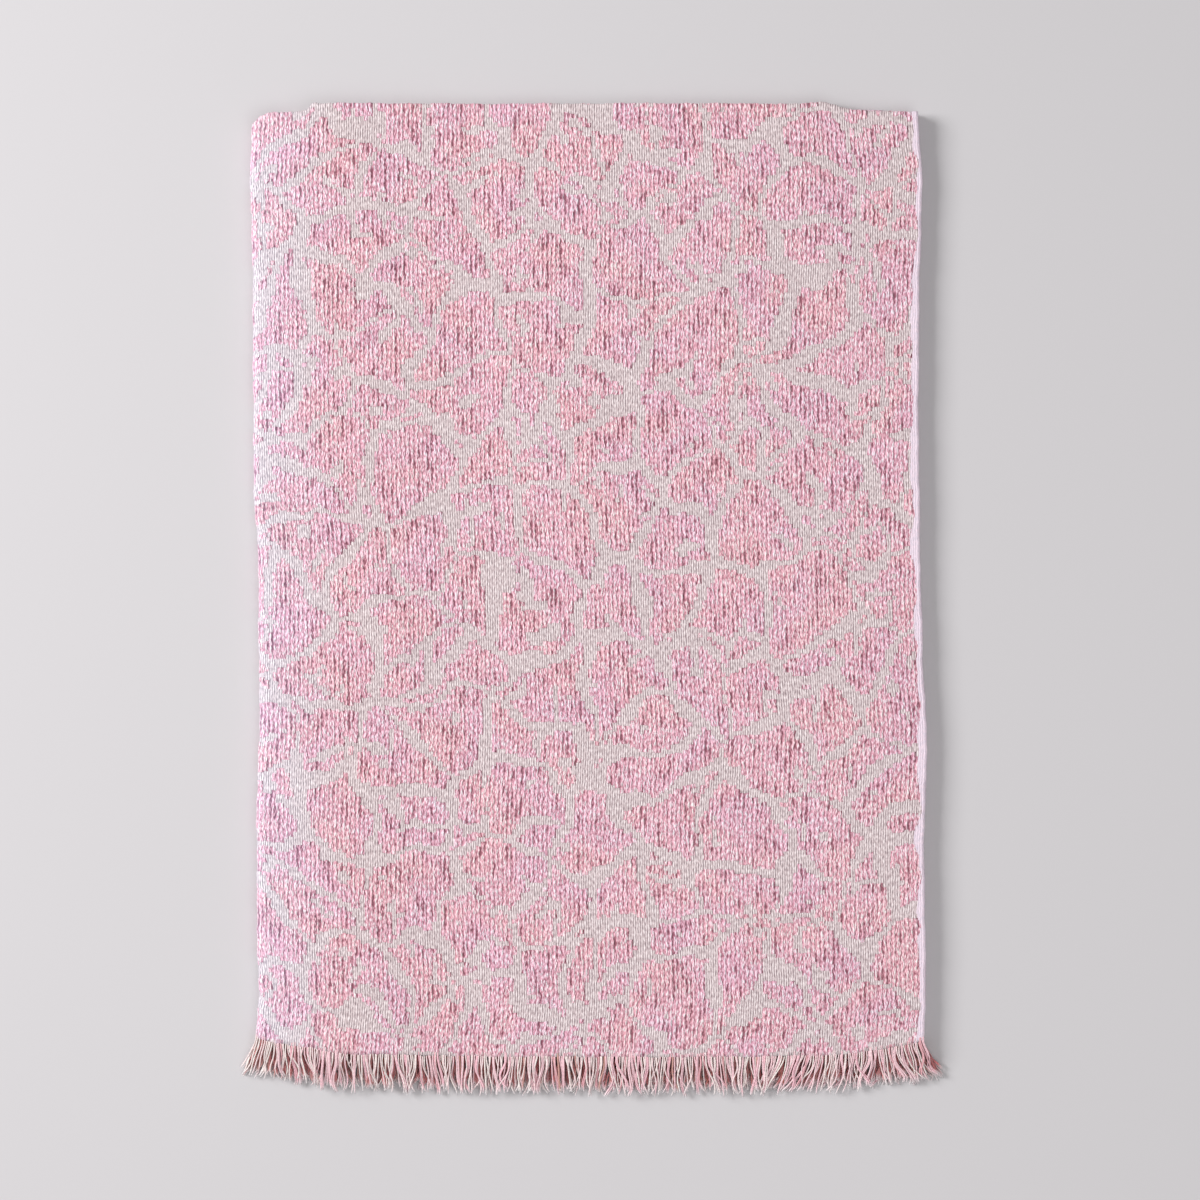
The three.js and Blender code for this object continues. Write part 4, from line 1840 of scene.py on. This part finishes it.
    def lines(self, strands: Strands) -> np.ndarray:
        """The middle line of every filament.

        Args:
            strands: the filaments.

        Returns:
            Places by filament, ring and axis.
        """
        sizes = self.stack.sizes
        ring = np.linspace(0, 1, self.rings + 1)[None, :]
        count = len(strands.at)
        column = {part.name: getattr(strands, part.name)[:, None] for part in fields(strands)}
        out = ring * (column["length"] + self.root) - self.root
        looped = column["loop"] > 0
        loop_out = np.sin(ring * math.pi) * (self.loop_depth + self.root) - self.root
        out = np.where(looped, loop_out, out)
        share = np.clip(out / column["length"], 0, 1)
        slide = column["lean"] * share**self.lean_power
        slide = slide + column["aside"] * share**self.splay_power
        turn = share * self.curl_turn + column["phase"]
        slide = slide + column["curl"] * np.sin(turn) * share
        slide = np.where(looped, (ring - 0.5) * self.loop_width, slide)
        at = np.broadcast_to(column["at"], (count, self.rings + 1))
        at = np.clip(at, 0, self.stack.path.length)
        heading = self.stack.path.turned(at) + math.pi
        lifted = self.lift_at_root + (1 - self.lift_at_root) * share
        across = self.leg.sign * sizes.half_pitch + column["lift"] * lifted
        across = across + self.root_lift * (1 - share)
        x, z = self.stack.path.off_middle(at.ravel(), across.ravel())
        x = x + (np.cos(heading) * slide).ravel()
        z = z + (np.sin(heading) * slide).ravel()
        y = self.stack.hem_y(at.ravel(), self.leg) - out.ravel()
        place = self.stack.settle(x, y, z).reshape(count, self.rings + 1, 3)
        tips = soft_curve(TIP_SHIFTS, "x", "shift").read(x).reshape(out.shape)
        place[..., 0] += tips * share**self.tip_power
        settled = 1 - column["sink"] * share * share * (3 - 2 * share)
        least = column["radius"] * self.off_floor
        place[..., 2] = np.maximum(place[..., 2] * settled, least)
        return place

    def build(self) -> Object:
        """Lays every filament and joins them.

        Returns:
            The fringe as a piece.
        """
        template = self.strand_template()
        shape = points_of(template)
        strands = self.strands()
        middles = self.lines(strands)
        count = len(strands.at)
        joined = bmesh.new()
        for _ in range(count):
            joined.from_mesh(template)
        mesh = mesh_of(f"fringe_{self.leg.value}_yarns", joined)
        bpy.data.meshes.remove(template)
        ring = np.rint(shape[:, 2] * self.rings).astype(int)
        angle = np.arctan2(shape[:, 1], shape[:, 0])
        way = np.gradient(middles, axis=1)
        way = way / np.linalg.norm(way, axis=2, keepdims=True)
        side = np.cross(way, np.array([0.0, 0.0, 1.0]))
        side = side / np.maximum(np.linalg.norm(side, axis=2, keepdims=True), LENGTH_SLACK)
        over = np.cross(side, way)
        fluff = 1 + self.fluff * np.sin(ring * self.fluff_turn + np.arange(count)[:, None])
        radius = (strands.radius[:, None] * fluff)[..., None]
        turned = np.cos(angle)[None, :, None] * side[:, ring]
        turned = turned + np.sin(angle)[None, :, None] * over[:, ring]
        places = middles[:, ring] + turned * radius
        places[..., 2] = np.maximum(places[..., 2], 0)
        mesh.vertices.foreach_set("co", places.reshape(-1, 3).ravel())
        share = np.broadcast_to(ring / self.rings, (count, len(ring)))
        out = share * strands.length[:, None]
        around = np.broadcast_to(angle, (count, len(ring)))
        store(mesh, YARN_MAP, np.stack([around.ravel(), out.ravel(), share.ravel()], axis=1))
        store(mesh, TONE_MAP, np.repeat(strands.tone, len(ring)))
        mesh.update()
        name = f"fringe_{self.leg.value}"
        return show(f"{name}_yarns", mesh, self.finish.material(), name)


@dataclass(frozen=True)
class SoftLight:
    """A square soft light that faces the throw, its place in metres and its power in watts."""

    name: str
    place: Place
    size: float
    power: float

    def hang(self) -> None:
        """Hangs the light."""
        light = bpy.data.lights.new(self.name, "AREA")
        light.size = self.size
        light.energy = self.power
        lamp = add_object(self.name, light)
        lamp.location = self.place
        lamp.rotation_euler = (-Vector(self.place)).to_track_quat("-Z", "Y").to_euler()


@dataclass(frozen=True)
class Studio:
    """A plain pale floor, soft light from the left, and the camera straight above."""

    floor: Paint = Paint(206, 203, 205)
    floor_reach: float = 4
    floor_drop: float = 0.3 * MM
    floor_roughness: float = 0.9
    floor_shine: float = 0.1
    key: SoftLight = SoftLight("key_light", (-3.6, 1.2, 2.6), 2.0, 215)
    fill: SoftLight = SoftLight("fill_light", (1.0, -0.8, 2.6), 2.2, 24)
    view_width: float = 1.072
    looks_at: tuple[float, float, float] = (6.8 * MM, 0.7 * MM, 15 * MM)
    lens_mm: float = 85
    sensor_mm: float = 36
    sky: float = 0.34

    def lay_floor(self) -> None:
        """Lays the floor just under the throw."""
        sheet = bmesh.new()
        bmesh.ops.create_grid(sheet, x_segments=1, y_segments=1, size=self.floor_reach)
        bmesh.ops.translate(sheet, verts=sheet.verts[:], vec=(0, 0, -self.floor_drop))
        mesh = mesh_of("floor", sheet)
        made = bpy.data.materials.new("studio_floor")
        made.use_nodes = True
        shader = made.node_tree.nodes["Principled BSDF"]
        shader.inputs["Base Color"].default_value = self.floor.linear
        shader.inputs["Roughness"].default_value = self.floor_roughness
        shader.inputs["Specular IOR Level"].default_value = self.floor_shine
        mesh.materials.append(made)
        floor = add_object("floor", mesh)

    def build(self) -> None:
        """Sets up the floor, the lights, the sky and the camera."""
        scene = bpy.context.scene
        self.lay_floor()
        self.key.hang()
        self.fill.hang()
        world = bpy.data.worlds.new("studio_sky")
        world.use_nodes = True
        sky = world.node_tree.nodes["Background"]
        sky.inputs["Color"].default_value = (1, 1, 1, 1)
        sky.inputs["Strength"].default_value = self.sky
        scene.world = world
        scene.view_settings.view_transform = "Standard"
        lens = bpy.data.cameras.new("photo_camera")
        lens.lens = self.lens_mm
        lens.sensor_width = self.sensor_mm
        camera = add_object("photo_camera", lens)
        above = self.view_width * self.lens_mm / self.sensor_mm
        camera.location = Vector(self.looks_at) + Vector((0, 0, above))
        scene.camera = camera


def main() -> None:
    """Builds the throw and its studio; each piece's triangles and box are logged as it is made."""
    logging.basicConfig(level=logging.INFO, format="%(name)s: %(message)s")
    stack = FoldedStack(ThrowSizes())
    cloth = RibbedCloth(stack, JacquardFinish()).build()
    outer = CutFringe(
        stack,
        Leg.OUTER,
        YarnFinish("upper_fringe_yarn"),
        SEED + 40,
        loop_at=stack.sizes.folded_width / 2 + 214 * MM,
    ).build()
    inner = CutFringe(
        stack,
        Leg.INNER,
        # Darker and warmer: painted shade under the upper fringe, with the yarns' own warm tone.
        YarnFinish("lower_fringe_yarn", undertone_and_shade=Paint(208, 163, 158)),
        SEED + 60,
        length=32 * MM,
    ).build()
    Studio().build()


if __name__ == "__main__":
    main()
